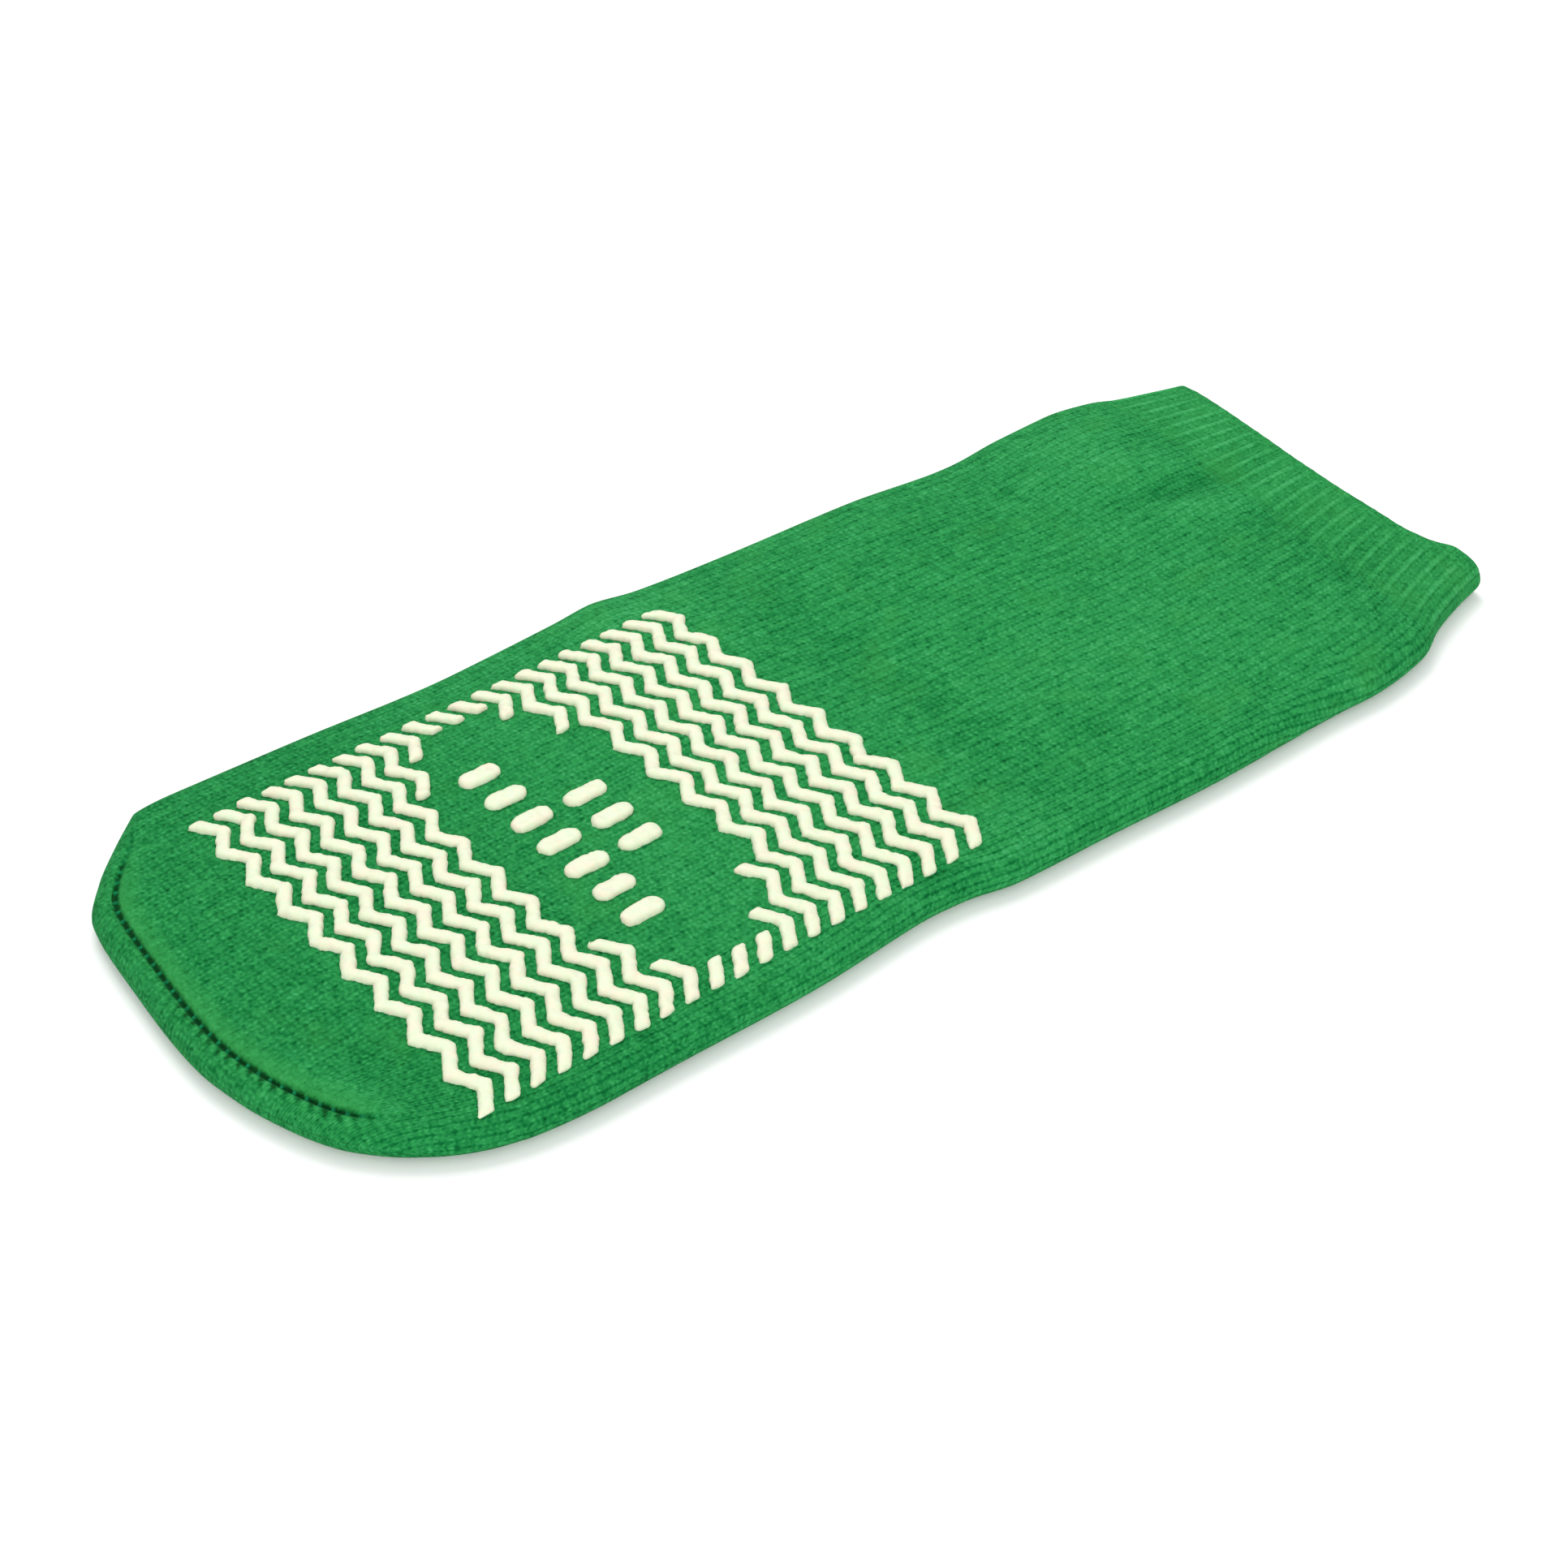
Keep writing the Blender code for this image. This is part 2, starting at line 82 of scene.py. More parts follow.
back = Vector((
    math.sin(CAMERA_AZIMUTH) * math.cos(CAMERA_ELEVATION),
    -math.cos(CAMERA_AZIMUTH) * math.cos(CAMERA_ELEVATION),
    math.sin(CAMERA_ELEVATION),
))
camera_data = bpy.data.cameras.new("camera")
camera_data.lens = CAMERA_LENS
camera_data.sensor_width = SENSOR
camera_data.clip_start = 0.01
camera = bpy.data.objects.new("camera", camera_data)
camera.location = CAMERA_TARGET + CAMERA_DISTANCE * back
camera.rotation_euler = (-back).to_track_quat("-Z", "Y").to_euler()
bpy.context.scene.collection.objects.link(camera)
bpy.context.scene.camera = camera
print("camera at", [round(place, 3) for place in camera.location])

# %% [markdown]
# A picture of this kind is taken on a white table under a light tent: light comes from everywhere and
# hardly any shadow is left. A bright even world does most of that. One large soft lamp above the toe
# gives the stitches and the edge of the print a little shape, and a weaker one fills in from the other
# side.

# %% Table and light
TABLE_SIDE = 6.0
WORLD_LIGHT = 0.80
LAMPS = (
    # name, place, width, power
    ("key_lamp", (-0.55, 0.25, 0.90), 0.70, 7.0),
    ("fill_lamp", (0.85, -0.60, 0.45), 0.90, 8.0),
)

world = bpy.data.worlds.new("light_tent")
world.use_nodes = True
world.node_tree.nodes["Background"].inputs["Color"].default_value = (1.0, 1.0, 1.0, 1.0)
world.node_tree.nodes["Background"].inputs["Strength"].default_value = WORLD_LIGHT
bpy.context.scene.world = world
bpy.context.scene.view_settings.view_transform = "Standard"

for name, place, width, power in LAMPS:
    lamp_data = bpy.data.lights.new(name, "AREA")
    lamp_data.size = width
    lamp_data.energy = power
    lamp = bpy.data.objects.new(name, lamp_data)
    lamp.location = place
    lamp.rotation_euler = (CAMERA_TARGET - lamp.location).to_track_quat("-Z", "Y").to_euler()
    bpy.context.scene.collection.objects.link(lamp)

bpy.ops.object.select_all(action="DESELECT")
bpy.ops.mesh.primitive_plane_add(size=TABLE_SIDE, location=(0.0, 0.0, 0.0))
table = bpy.context.object
table.name = "table"
print("table", TABLE_SIDE, "m wide, lamps", [row[0] for row in LAMPS])

# %% [markdown]
# A sock is knitted to a few sizes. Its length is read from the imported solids. The rest are set here: the
# width of the foot lying flat, the wall, the height of a fold, how far the slack foot swells between its
# folds, and the depths of toe, cuff and seam.

# %% Sizes of the sock
FOOT_WIDTH = 0.106
WALL = 0.0017
FOLD_HEIGHT = 0.0064
FOLD_MIDDLE = FOLD_HEIGHT / 2
SWELL = 0.0026
SWELL_RUN = 0.034
TOE_DEPTH = 0.033
TOE_BLEND = 2.6 * TOE_DEPTH
LARGEST_SLANT = 1.8
SLANT_STEP = 0.02
CUFF_DEPTH = 0.0175
CUFF_WALL = 0.0017
CUFF_STEP = 0.00025
BASE_TILT = 0.0095
RIM_DIP = 0.0072
SEAM_INSET = 0.0042
SEAM_WIDTH = 0.0026
SEAM_DEPTH = 0.0010
PIECE_GAP = 0.0003
TOE_TIP = cad_low.y
RIM_TOP = cad_high.y
JOIN_GAP = 0.00002
TUBE_END = SOCK_LENGTH - CUFF_DEPTH - BASE_TILT - JOIN_GAP
ANKLE = 0.45 * SOCK_LENGTH
FRONT_BAND = 2 * SEAM_INSET
print("knit tube", round(1000 * TUBE_END, 1), "mm long, cuff", round(1000 * CUFF_DEPTH, 1), "mm deep")

# %% [markdown]
# The slack outline is easiest to say as shares of those sizes at some places along it. A table of named
# columns holds the shares. It is read with a curve that passes through every row and never swings past
# one, so that a bulge stays where it was put.


# %% A table of shares
class Table:
    """Shares in named columns, read smoothly along the first column."""

    def __init__(self, columns, rows):
        self.keys = np.array([row[0] for row in rows])
        self.values = {name: np.array([row[k] for row in rows]) for k, name in enumerate(columns)}

    def slopes(self, name):
        """Slope at each row that keeps the curve free of overshoot."""
        steps = np.diff(self.values[name]) / np.diff(self.keys)
        before, after = steps[:-1], steps[1:]
        same_way = before * after > 0
        total = np.where(same_way, before + after, 1.0)
        inner = np.where(same_way, 2 * before * after / total, 0.0)
        return np.concatenate([steps[:1], inner, steps[-1:]])

    def read(self, name, at):
        values, slopes = self.values[name], self.slopes(name)
        at = np.clip(at, self.keys[0], self.keys[-1])
        low = np.clip(np.searchsorted(self.keys, at, side="right") - 1, 0, len(self.keys) - 2)
        width = self.keys[low + 1] - self.keys[low]
        t = (at - self.keys[low]) / width
        start, end = slopes[low] * width, slopes[low + 1] * width
        return (values[low] * (1 + 2 * t) * (1 - t) ** 2 + start * t * (1 - t) ** 2
                + values[low + 1] * t ** 2 * (3 - 2 * t) + end * t ** 2 * (t - 1))


# %% [markdown]
# Four tables give the outline: the side folds and the swell along the sock, the toe fold, the two ends of
# the cuff, and where the toe seam sinks in. The far side is the one away from the camera. A slack toe has
# no sharp corners, so its side folds also bend a little where they meet the toe fold.

# %% Outline of the sock
# along: share of the sock's length from the toe. far, near: side folds in halves of FOOT_WIDTH.
SECTIONS = Table(("along", "far", "near", "swell"), (
    (0.099, -1.106, 0.906, 0.80),
    (0.221, -1.062, 0.926, 1.00),
    (0.344, -1.014, 0.952, 1.00),
    (0.430, -1.020, 0.938, 0.92),
    (0.464, -1.030, 0.954, 0.90),
    (0.503, -0.986, 1.000, 0.92),
    (0.577, -0.946, 1.026, 0.96),
    (0.692, -0.902, 1.070, 1.00),
    (0.789, -0.836, 1.082, 1.00),
    (0.835, -0.848, 1.098, 1.00),
    (0.884, -0.846, 1.076, 1.00),
    (0.925, -0.810, 0.996, 0.96),
    (0.957, -0.740, 0.950, 1.02),
    (1.000, -0.660, 0.905, 1.12),
))
# back: how far the toe fold lies behind the toe tip, as a share of TOE_DEPTH.
TOE_FOLD = Table(("across", "back"), (
    (-1.00, 0.74),
    (-0.90, 0.54),
    (-0.78, 0.33),
    (-0.64, 0.16),
    (-0.38, 0.08),
    (0.12, 0.00),
    (0.30, 0.03),
    (0.48, 0.10),
    (0.64, 0.20),
    (0.77, 0.35),
    (0.89, 0.57),
    (0.96, 0.77),
    (1.00, 0.96),
))
# base: share of BASE_TILT. rim: share of RIM_DIP.
CUFF_LINES = Table(("across", "base", "rim"), (
    (-1.00, 1.00, 1.00),
    (-0.90, 0.96, 0.96),
    (-0.67, 0.86, 0.72),
    (-0.43, 0.73, 0.47),
    (0.00, 0.43, 0.16),
    (0.30, 0.22, 0.04),
    (0.55, 0.12, 0.03),
    (0.72, 0.07, 0.21),
    (0.85, 0.03, 0.58),
    (1.00, 0.00, 0.52),
))
# sink: share of SEAM_DEPTH along the toe fold.
SEAM_REACH = Table(("across", "sink"), (
    (-0.87, 0.0),
    (-0.78, 0.3),
    (-0.62, 1.0),
    (0.58, 1.0),
    (0.72, 0.0),
))
# How far each side fold moves at its corner of the toe, along what run, and where the corner is.
CORNER_ROUND = {"far": 0.0008, "near": -0.0014}
CORNER_RUN = {"far": 0.008, "near": 0.016}
CORNER_BACK = {"far": TOE_FOLD.values["back"][0], "near": TOE_FOLD.values["back"][-1]}
CENTRE = FOOT_WIDTH / 4 * (min(SECTIONS.values["far"]) + max(SECTIONS.values["near"]))
print("folds from", round(1000 * tube_low.x, 1), "to", round(1000 * tube_high.x, 1), "mm")

# %% [markdown]
# Knit is a grid of loops. Its columns are called wales and run along the foot. Its rows are called
# courses and run round it. If the mesh follows wales and courses, then creases, ribs and stitches all
# fall the right way by themselves. So the shape is given by functions that say where a course lies on the
# flattened tube: straight over the instep, bent round the toe, and a little askew where the cuff begins.


# %% Where courses and wales lie
def mix(start, end, t):
    return start + (end - start) * t


def ease(t):
    t = np.clip(t, 0.0, 1.0)
    return t * t * (3 - 2 * t)


def side_fold(side, y):
    """x of the far or near fold at a place along the sock."""
    beyond = (y - TOE_TIP - TOE_DEPTH * CORNER_BACK[side]) / CORNER_RUN[side]
    rounding = CORNER_ROUND[side] * np.clip(1 - beyond, 0.0, 1.0) ** 2
    return FOOT_WIDTH / 2 * SECTIONS.read(side, (y - TOE_TIP) / SOCK_LENGTH) - CENTRE + rounding


def toe_slant(across):
    """Length of the toe fold for each unit across it."""
    rise = TOE_FOLD.read("back", across + SLANT_STEP) - TOE_FOLD.read("back", across - SLANT_STEP)
    slope = TOE_DEPTH * rise / (2 * SLANT_STEP) / (FOOT_WIDTH / 2)
    return np.minimum(np.hypot(1.0, slope), LARGEST_SLANT)


def course_y(across, station, depth):
    """Where a course lies. station: distance from the toe fold. depth: under the skin."""
    toe = 1 - ease(station / TOE_BLEND)
    leg = ease((station - ANKLE) / (TUBE_END - ANKLE))
    slant = toe_slant(across)
    inwards = (slant - 1) * np.minimum(station, FRONT_BAND) + depth * slant
    tilt = BASE_TILT * CUFF_LINES.read("base", across)
    return TOE_TIP + station + toe * (inwards + TOE_DEPTH * TOE_FOLD.read("back", across)) + leg * tilt


def cuff_y(across, share, back):
    """Where a course of the cuff lies, from its base, 0, to its rim, 1."""
    base = RIM_TOP - CUFF_DEPTH - BASE_TILT * (1 - CUFF_LINES.read("base", across))
    rim = RIM_TOP - RIM_DIP * (1 - CUFF_LINES.read("rim", across))
    return mix(base, rim - back, share)


def across_girth(left, right, radius, girth):
    """x across a flattened tube. girth: 0 at the far fold, 1 at the near one, measured over the knit."""
    arc = math.pi / 2 * radius
    total = right - left - 2 * radius + 2 * arc
    run = girth * total
    over = left + radius + run - arc
    far = left + radius * (1 - np.cos(np.minimum(run, arc) / radius))
    near = right - radius * (1 - np.cos(np.minimum(total - run, arc) / radius))
    return np.where(run < arc, far, np.where(total - run < arc, near, over))


def plan_row(line, depth, girth):
    """Plan places (x, y) of one row over a half of the tube."""
    depth = np.broadcast_to(depth, girth.shape)
    left = side_fold("far", line(-1.0)) + depth
    right = side_fold("near", line(1.0)) - depth
    x = across_girth(left, right, FOLD_MIDDLE - depth, girth)
    across = np.clip(2 * (x - left) / (right - left) - 1, -1.0, 1.0)
    return x, line(across), across


ankle_x = plan_row(lambda across: course_y(across, ANKLE, 0.0), 0.0, np.linspace(0.0, 1.0, 3))[0]
print("ankle", round(1000 * (ankle_x[-1] - ankle_x[0]), 1), "mm wide")

# %% [markdown]
# Slack cloth creases. Each crease is one long soft trough or ridge, placed one by one: a trough and a
# ridge side by side under the cuff with smaller ones about them, a few where both sides bend at the heel,
# shallow ones over the leg, and at the end some finer ones by the toe seam, along the near side and under
# the cuff.

# %% Creases
# across, along: place as in SECTIONS. turn: degrees off the sock's length, towards the near side.
# length, width: shares of FOOT_WIDTH. rise: share of WALL, below zero for a trough.
CREASE_COLUMNS = ("across", "along", "turn", "length", "width", "rise")
CREASES = (
    (-0.08, 0.890, 12.0, 0.130, 0.040, -0.37),
    (0.03, 0.890, 12.0, 0.130, 0.050, 0.28),
    (-0.38, 0.862, 14.0, 0.130, 0.080, 0.22),
    (0.50, 0.925, 80.0, 0.250, 0.080, -0.13),
    (0.30, 0.880, -8.0, 0.120, 0.060, -0.10),
    (0.86, 0.452, 70.0, 0.090, 0.050, -0.22),
    (0.90, 0.520, 20.0, 0.120, 0.060, 0.14),
    (-0.84, 0.470, 10.0, 0.120, 0.050, 0.25),
    (0.00, 0.560, 88.0, 0.480, 0.060, -0.18),
    (0.45, 0.720, 10.0, 0.260, 0.120, 0.09),
    (-0.45, 0.700, -6.0, 0.240, 0.110, -0.08),
    (0.52, 0.052, 78.0, 0.150, 0.030, 0.20),
    (0.36, 0.074, 72.0, 0.130, 0.030, -0.12),
    (0.70, 0.610, 6.0, 0.300, 0.035, -0.10),
    (0.78, 0.760, 4.0, 0.260, 0.030, 0.10),
    (-0.62, 0.860, 12.0, 0.110, 0.040, 0.16),
    (-0.42, 0.905, 0.0, 0.070, 0.045, -0.14),
    (0.62, 0.905, -4.0, 0.070, 0.045, -0.14),
)


def crease_rise(x, y):
    """Sum of the soft troughs and ridges."""
    total = np.zeros(np.shape(x))
    for row in CREASES:
        crease = dict(zip(CREASE_COLUMNS, row))
        dx = x + CENTRE - crease["across"] * FOOT_WIDTH / 2
        dy = y - TOE_TIP - crease["along"] * SOCK_LENGTH
        turn = math.radians(crease["turn"])
        along = (dx * math.sin(turn) + dy * math.cos(turn)) / (crease["length"] * FOOT_WIDTH)
        aside = (dx * math.cos(turn) - dy * math.sin(turn)) / (crease["width"] * FOOT_WIDTH)
        total = total + crease["rise"] * WALL * np.exp(-along ** 2 - aside ** 2)
    return total


print(len(CREASES), "creases, the deepest", round(1000 * WALL * min(row[-1] for row in CREASES), 2), "mm")

# %% [markdown]
# Two lines in the plan are measured from: the outline, which is where the cloth folds over, and the line
# of the toe seam, which runs inside the toe fold and cuts its corners a little.

# %% Outline and seam line
OUTLINE_STEPS = 240
SEAM_SOFT_STEPS = 9


def toe_fold_line():
    """The toe fold as a fine line of plan places."""
    share = np.linspace(0.0, 1.0, OUTLINE_STEPS + 1)
    left = side_fold("far", course_y(-1.0, 0.0, 0.0))
    right = side_fold("near", course_y(1.0, 0.0, 0.0))
    return np.column_stack([mix(left, right, share), course_y(2 * share - 1, 0.0, 0.0)])


def whole_outline():
    """Far fold, toe fold and near fold as one fine line, open at the cuff."""
    toe = toe_fold_line()
    beyond = RIM_TOP + FOLD_HEIGHT
    far = np.linspace(beyond, toe[0, 1], OUTLINE_STEPS, endpoint=False)
    near = np.linspace(beyond, toe[-1, 1], OUTLINE_STEPS, endpoint=False)[::-1]
    far_line = np.column_stack([side_fold("far", far), far])
    near_line = np.column_stack([side_fold("near", near), near])
    return np.concatenate([far_line, toe, near_line])


def nearest(line, x, y):
    """Distance from places to a line of places, and how many of its steps along the line that is."""
    gaps = np.hypot(x[:, None] - line[:, 0], y[:, None] - line[:, 1])
    corner = np.argmin(gaps, axis=1)
    best = gaps[np.arange(len(x)), corner]
    along = corner.astype(float)
    for first in (np.maximum(corner - 1, 0), np.minimum(corner, len(line) - 2)):
        start = line[first]
        step = line[first + 1] - start
        t = ((x - start[:, 0]) * step[:, 0] + (y - start[:, 1]) * step[:, 1]) / (step ** 2).sum(axis=1)
        t = np.clip(t, 0.0, 1.0)
        gap = np.hypot(x - start[:, 0] - t * step[:, 0], y - start[:, 1] - t * step[:, 1])
        closer = gap < best
        best = np.where(closer, gap, best)
        along = np.where(closer, first + t, along)
    return best, along


def softened(values, reach):
    """Values along a line, each the mean of its neighbours within reach."""
    window = np.full(2 * reach + 1, 1 / (2 * reach + 1))
    return np.convolve(np.pad(values, reach, mode="edge"), window, mode="valid")


def run_along(line):
    """How far along the line each of its places lies."""
    return np.concatenate([[0.0], np.cumsum(np.hypot(*np.diff(line, axis=0).T))])


seam_girth = np.linspace(0.0, 1.0, OUTLINE_STEPS + 1)
seam_x, seam_y, seam_across = plan_row(lambda across: course_y(across, SEAM_INSET, 0.0), 0.0, seam_girth)
seam_x, seam_y = softened(seam_x, SEAM_SOFT_STEPS), softened(seam_y, SEAM_SOFT_STEPS)
SEAM_LINE = np.column_stack([seam_x, seam_y])
seam_run = run_along(SEAM_LINE)
OUTLINE = whole_outline()
outline_run = run_along(OUTLINE)
print("outline", round(1000 * outline_run[-1]), "mm, seam line", round(1000 * seam_run[-1]), "mm long")

# %% [markdown]
# The height of the skin comes from one idea: cloth that is folded flat is round at its folds and nearly
# level between them. So the distance to the nearest fold gives the height. To that come a soft swell over
# the slack foot and the creases. The groove of the toe seam is worked out here too, for the rows beside
# it.

# %% Height of the knitted skin
SEAM_BOTTOM_ROUNDNESS = 1.5


def seam_groove(x, y):
    """Depth of the seam's groove as a share of its full depth, and where a place lies about the seam."""
    gap, along = nearest(SEAM_LINE, x, y)
    steps = np.arange(len(seam_across))
    reach = SEAM_REACH.read("sink", np.interp(along, steps, seam_across))
    hollow = 0.5 + 0.5 * np.cos(math.pi * np.minimum(gap / (SEAM_WIDTH / 2), 1.0))
    shape = hollow ** SEAM_BOTTOM_ROUNDNESS
    return reach * shape, reach, gap, np.interp(along, steps, seam_run)


def skin_height(x, y, depth, upper):
    """Height of the grip side, or of the under side, at a depth under the skin."""
    distance = nearest(OUTLINE, x, y)[0]
    radius = FOLD_MIDDLE - depth
    turned = np.clip((distance - depth) / radius, 0.0, 1.0)
    rounded = radius * np.sqrt(1 - (1 - turned) ** 2)
    if not upper:
        return FOLD_MIDDLE - rounded
    swell_share = SECTIONS.read("swell", (y - TOE_TIP) / SOCK_LENGTH)
    swell = SWELL * swell_share * (1 - (1 - np.minimum(distance / SWELL_RUN, 1.0)) ** 2)
    creases = crease_rise(x, y) * ease(distance / FOLD_HEIGHT)
    return FOLD_MIDDLE + rounded + swell + creases


middle_height = skin_height(np.array([0.0]), np.array([0.0]), 0.0, True)[0]
print("height in the middle of the foot", round(1000 * middle_height, 2), "mm")

# %% [markdown]
# The foot and leg are made as a knitter would see them: a flat sheet of knit, rolled up. The sheet is one
# grid primitive whose faces are laid out as wales and courses, and its UV map then counts wales and
# courses, which is what the stitch pattern needs. Any other value that a shader needs goes along as an
# attribute.

# %% A sheet of knit
MERGE = 1e-6
SMOOTH_ANGLE = math.radians(60)


def rolled_sheet(name, rows, fields):
    """A grid primitive whose points are placed by rows of (x, y, z, wale, course, and more fields)."""
    columns = rows.shape[1] - 1
    bpy.ops.object.select_all(action="DESELECT")
    bpy.ops.mesh.primitive_grid_add(x_subdivisions=columns, y_subdivisions=len(rows) - 1, size=1.0)
    sheet = bpy.context.object
    sheet.name = name
    mesh = sheet.data
    flat = np.zeros(3 * len(mesh.vertices))
    mesh.vertices.foreach_get("co", flat)
    column = np.rint((flat[0::3] + 0.5) * columns).astype(int)
    row = np.rint((flat[1::3] + 0.5) * (len(rows) - 1)).astype(int)
    placed = rows[row, column]
    mesh.vertices.foreach_set("co", placed[:, :3].ravel())
    corner_vertex = np.zeros(len(mesh.loops), dtype=int)
    mesh.loops.foreach_get("vertex_index", corner_vertex)
    mesh.uv_layers[0].name = "wale_course"
    mesh.uv_layers[0].uv.foreach_set("vector", placed[corner_vertex, 3:5].ravel())
    for k, field in enumerate(fields):
        mesh.attributes.new(field, "FLOAT", "POINT").data.foreach_set("value", placed[:, 5 + k])
    bpy.ops.object.mode_set(mode="EDIT")
    bpy.ops.mesh.select_all(action="SELECT")
    bpy.ops.mesh.remove_doubles(threshold=MERGE)
    bpy.ops.mesh.normals_make_consistent(inside=False)
    bpy.ops.object.mode_set(mode="OBJECT")
    bpy.ops.object.shade_smooth_by_angle(angle=SMOOTH_ANGLE)
    return sheet


def round_tube(half, under):
    """Joins a row over the grip side to the same row underneath, taken back to its start."""
    return np.concatenate([half, under[::-1][1:]])


# %% [markdown]
# Wales lie evenly round the tube, apart from a few more that are packed together at the near fold. At the
# near corner of the toe they don't run on to the edge but bend and follow it. There a wale is counted by
# its distance from the edge, and a course by its place along the edge.

# %% Counting wales and courses
WALES = 104
HALF_WALES = WALES // 2
NEAR_EXTRA_WALES = 3
NEAR_FOLD_SHARE = 0.13
NEAR_FOLD_END = 0.215
BEND_START = 0.70
BEND_RUN = 0.24
BEND_END = 0.050
BEND_FADE = 0.025
COURSE = 0.00120


def wale_count(girth, station):
    """Wales from the far fold to a place on the row at this station."""
    packed = np.clip((girth - 1) / NEAR_FOLD_SHARE + 1, 0.0, 1.0)
    packed = packed * ease((NEAR_FOLD_END - station) / TOE_DEPTH)
    return girth * HALF_WALES + NEAR_EXTRA_WALES * packed


def bend_share(girth, station):
    """How far wales follow the edge: 1 at the near corner of the toe, and 0 elsewhere."""
    return ease((girth - BEND_START) / BEND_RUN) * ease((BEND_END - station) / BEND_FADE)


def girth_from_edge(x, y):
    """The girth that lies as far from the near fold as these places lie from the sock's edge."""
    gap = nearest(OUTLINE, x, y)[0]
    turned = FOLD_MIDDLE * np.arccos(1 - np.minimum(gap / FOLD_MIDDLE, 1.0))
    run = turned + np.maximum(gap - FOLD_MIDDLE, 0.0)
    return 1 - run / (x[-1] - x[0] + (math.pi - 2) * FOLD_MIDDLE)


def run_of_edge(x, y):
    """How far along the outline the nearest place of the edge lies."""
    return np.interp(nearest(OUTLINE, x, y)[1], np.arange(len(OUTLINE)), outline_run)


def count_toe_courses(rows, first_straight):
    """Counts the toe's courses along each wale, so that stitches keep their size where rows bend."""
    for k in range(first_straight - 1, -1, -1):
        step = np.linalg.norm(rows[k + 1, :, :3] - rows[k, :, :3], axis=1)
        rows[k, :, 4] = rows[k + 1, :, 4] - step / COURSE


def bend_toe_courses(rows, stations, last):
    """Counts courses along the edge where wales follow it, so that the loops stay square to it."""
    half = rows.shape[1] // 2
    girth = np.linspace(0.0, 1.0, half + 1)
    girth = round_tube(girth, girth)
    start = run_of_edge(rows[last, [half], 0], rows[last, [half], 1])
    for k in range(last):
        run = abs(run_of_edge(rows[k, :, 0], rows[k, :, 1]) - start)
        bent = rows[last, half, 4] - run / COURSE
        rows[k, :, 4] = mix(rows[k, :, 4], bent, bend_share(girth, stations[k]))


print("wales in a half of the toe", wale_count(1.0, 0.0), "and of the leg", wale_count(1.0, TUBE_END))

# %% [markdown]
# Each row of the tube is one course, or a part of one where the toe seam needs finer rows. The sheet's
# points go over the grip side and back underneath, row after row from the toe to the cuff, and then back
# inside as the inner skin. Merging the doubles closes the roll and the toe.

# %% Foot and leg
COLUMNS_PER_WALE = 4
ROW_STEP = 0.00135
SEAM_ROW_STEP = 0.00036
SEAM_ROWS_END = 0.0064
FOLD_ROWS = 5
FOLD_SWEEP = math.pi / 3
INNER_ROWS = 14
WALE_RELIEF = 0.00010
WALE_SHARPNESS = 2
RELIEF_RUN = 4 * SEAM_INSET
BASE_DIP = 0.00016
BASE_DIP_RUN = 0.0060
STITCH_PITCH = 0.0025
FAR_FROM_SEAM = 9.0


def tube_row(station, depth, outer):
    """One course of the foot or leg, right round the tube."""
    girth = np.linspace(0.0, 1.0, HALF_WALES * COLUMNS_PER_WALE + 1)
    bend = bend_share(girth, station) if outer else 0.0 * girth
    wale = wale_count(girth, station)
    groove = (0.5 + 0.5 * np.cos(2 * math.pi * wale)) ** WALE_SHARPNESS * (1 - bend)
    fade = ease(station / RELIEF_RUN) if outer else 0.0
    dip = np.exp(-((TUBE_END - station) / BASE_DIP_RUN) ** 2) if outer else 0.0
    deep = depth + WALE_RELIEF * groove * fade + BASE_DIP * dip
    x, y = plan_row(lambda at: course_y(at, station, depth), deep, girth)[:2]
    over = skin_height(x, y, deep, True)
    under = skin_height(x, y, deep, False)
    if station == 0.0:
        over[:] = under[:] = FOLD_MIDDLE
    over[0] = over[-1] = under[0] = under[-1] = FOLD_MIDDLE
    wale = mix(wale, wale_count(girth_from_edge(x, y), station), bend)
    sunk, reach, gap, run = seam_groove(x, y)
    gap = gap / (SEAM_WIDTH / 2) * (1 if station > SEAM_INSET else -1)
    seam_gap = np.where(reach > 0, gap, FAR_FROM_SEAM)
    if outer and station < SEAM_ROWS_END:
        over = over - SEAM_DEPTH * sunk
    far = np.full(len(x), FAR_FROM_SEAM)
    course = np.full(len(x), station / COURSE)
    fields = [
        round_tube(x, x),
        round_tube(y, y),
        round_tube(over, under),
        np.concatenate([wale, 2 * wale[-1] - wale[::-1][1:]]),
        round_tube(course, course),
        np.full(2 * len(x) - 1, dip),
        round_tube(np.clip(seam_gap, -FAR_FROM_SEAM, FAR_FROM_SEAM), far),
        round_tube(run / STITCH_PITCH, far),
        round_tube(reach, 0 * reach),
        round_tube(crease_rise(x, y) / WALL, 0 * x),
    ]
    return np.column_stack(fields)


fold_turns = np.linspace(0.0, FOLD_SWEEP, FOLD_ROWS, endpoint=False)
fold_stations = FOLD_MIDDLE * (1 - np.cos(fold_turns))
seam_start = fold_stations[-1] + SEAM_ROW_STEP
seam_stations = np.arange(seam_start, SEAM_ROWS_END, SEAM_ROW_STEP)
long_rows = round((TUBE_END - SEAM_ROWS_END) / ROW_STEP)
long_stations = np.linspace(SEAM_ROWS_END, TUBE_END, long_rows + 1)
outer_stations = np.concatenate([fold_stations, seam_stations, long_stations])
inner_stations = np.concatenate([
    np.linspace(TUBE_END, TOE_DEPTH, INNER_ROWS),
    np.linspace(TOE_DEPTH, SEAM_ROWS_END, INNER_ROWS // 2)[1:],
    fold_stations[::-1],
])
outer_rows = np.array([tube_row(station, 0.0, True) for station in outer_stations])
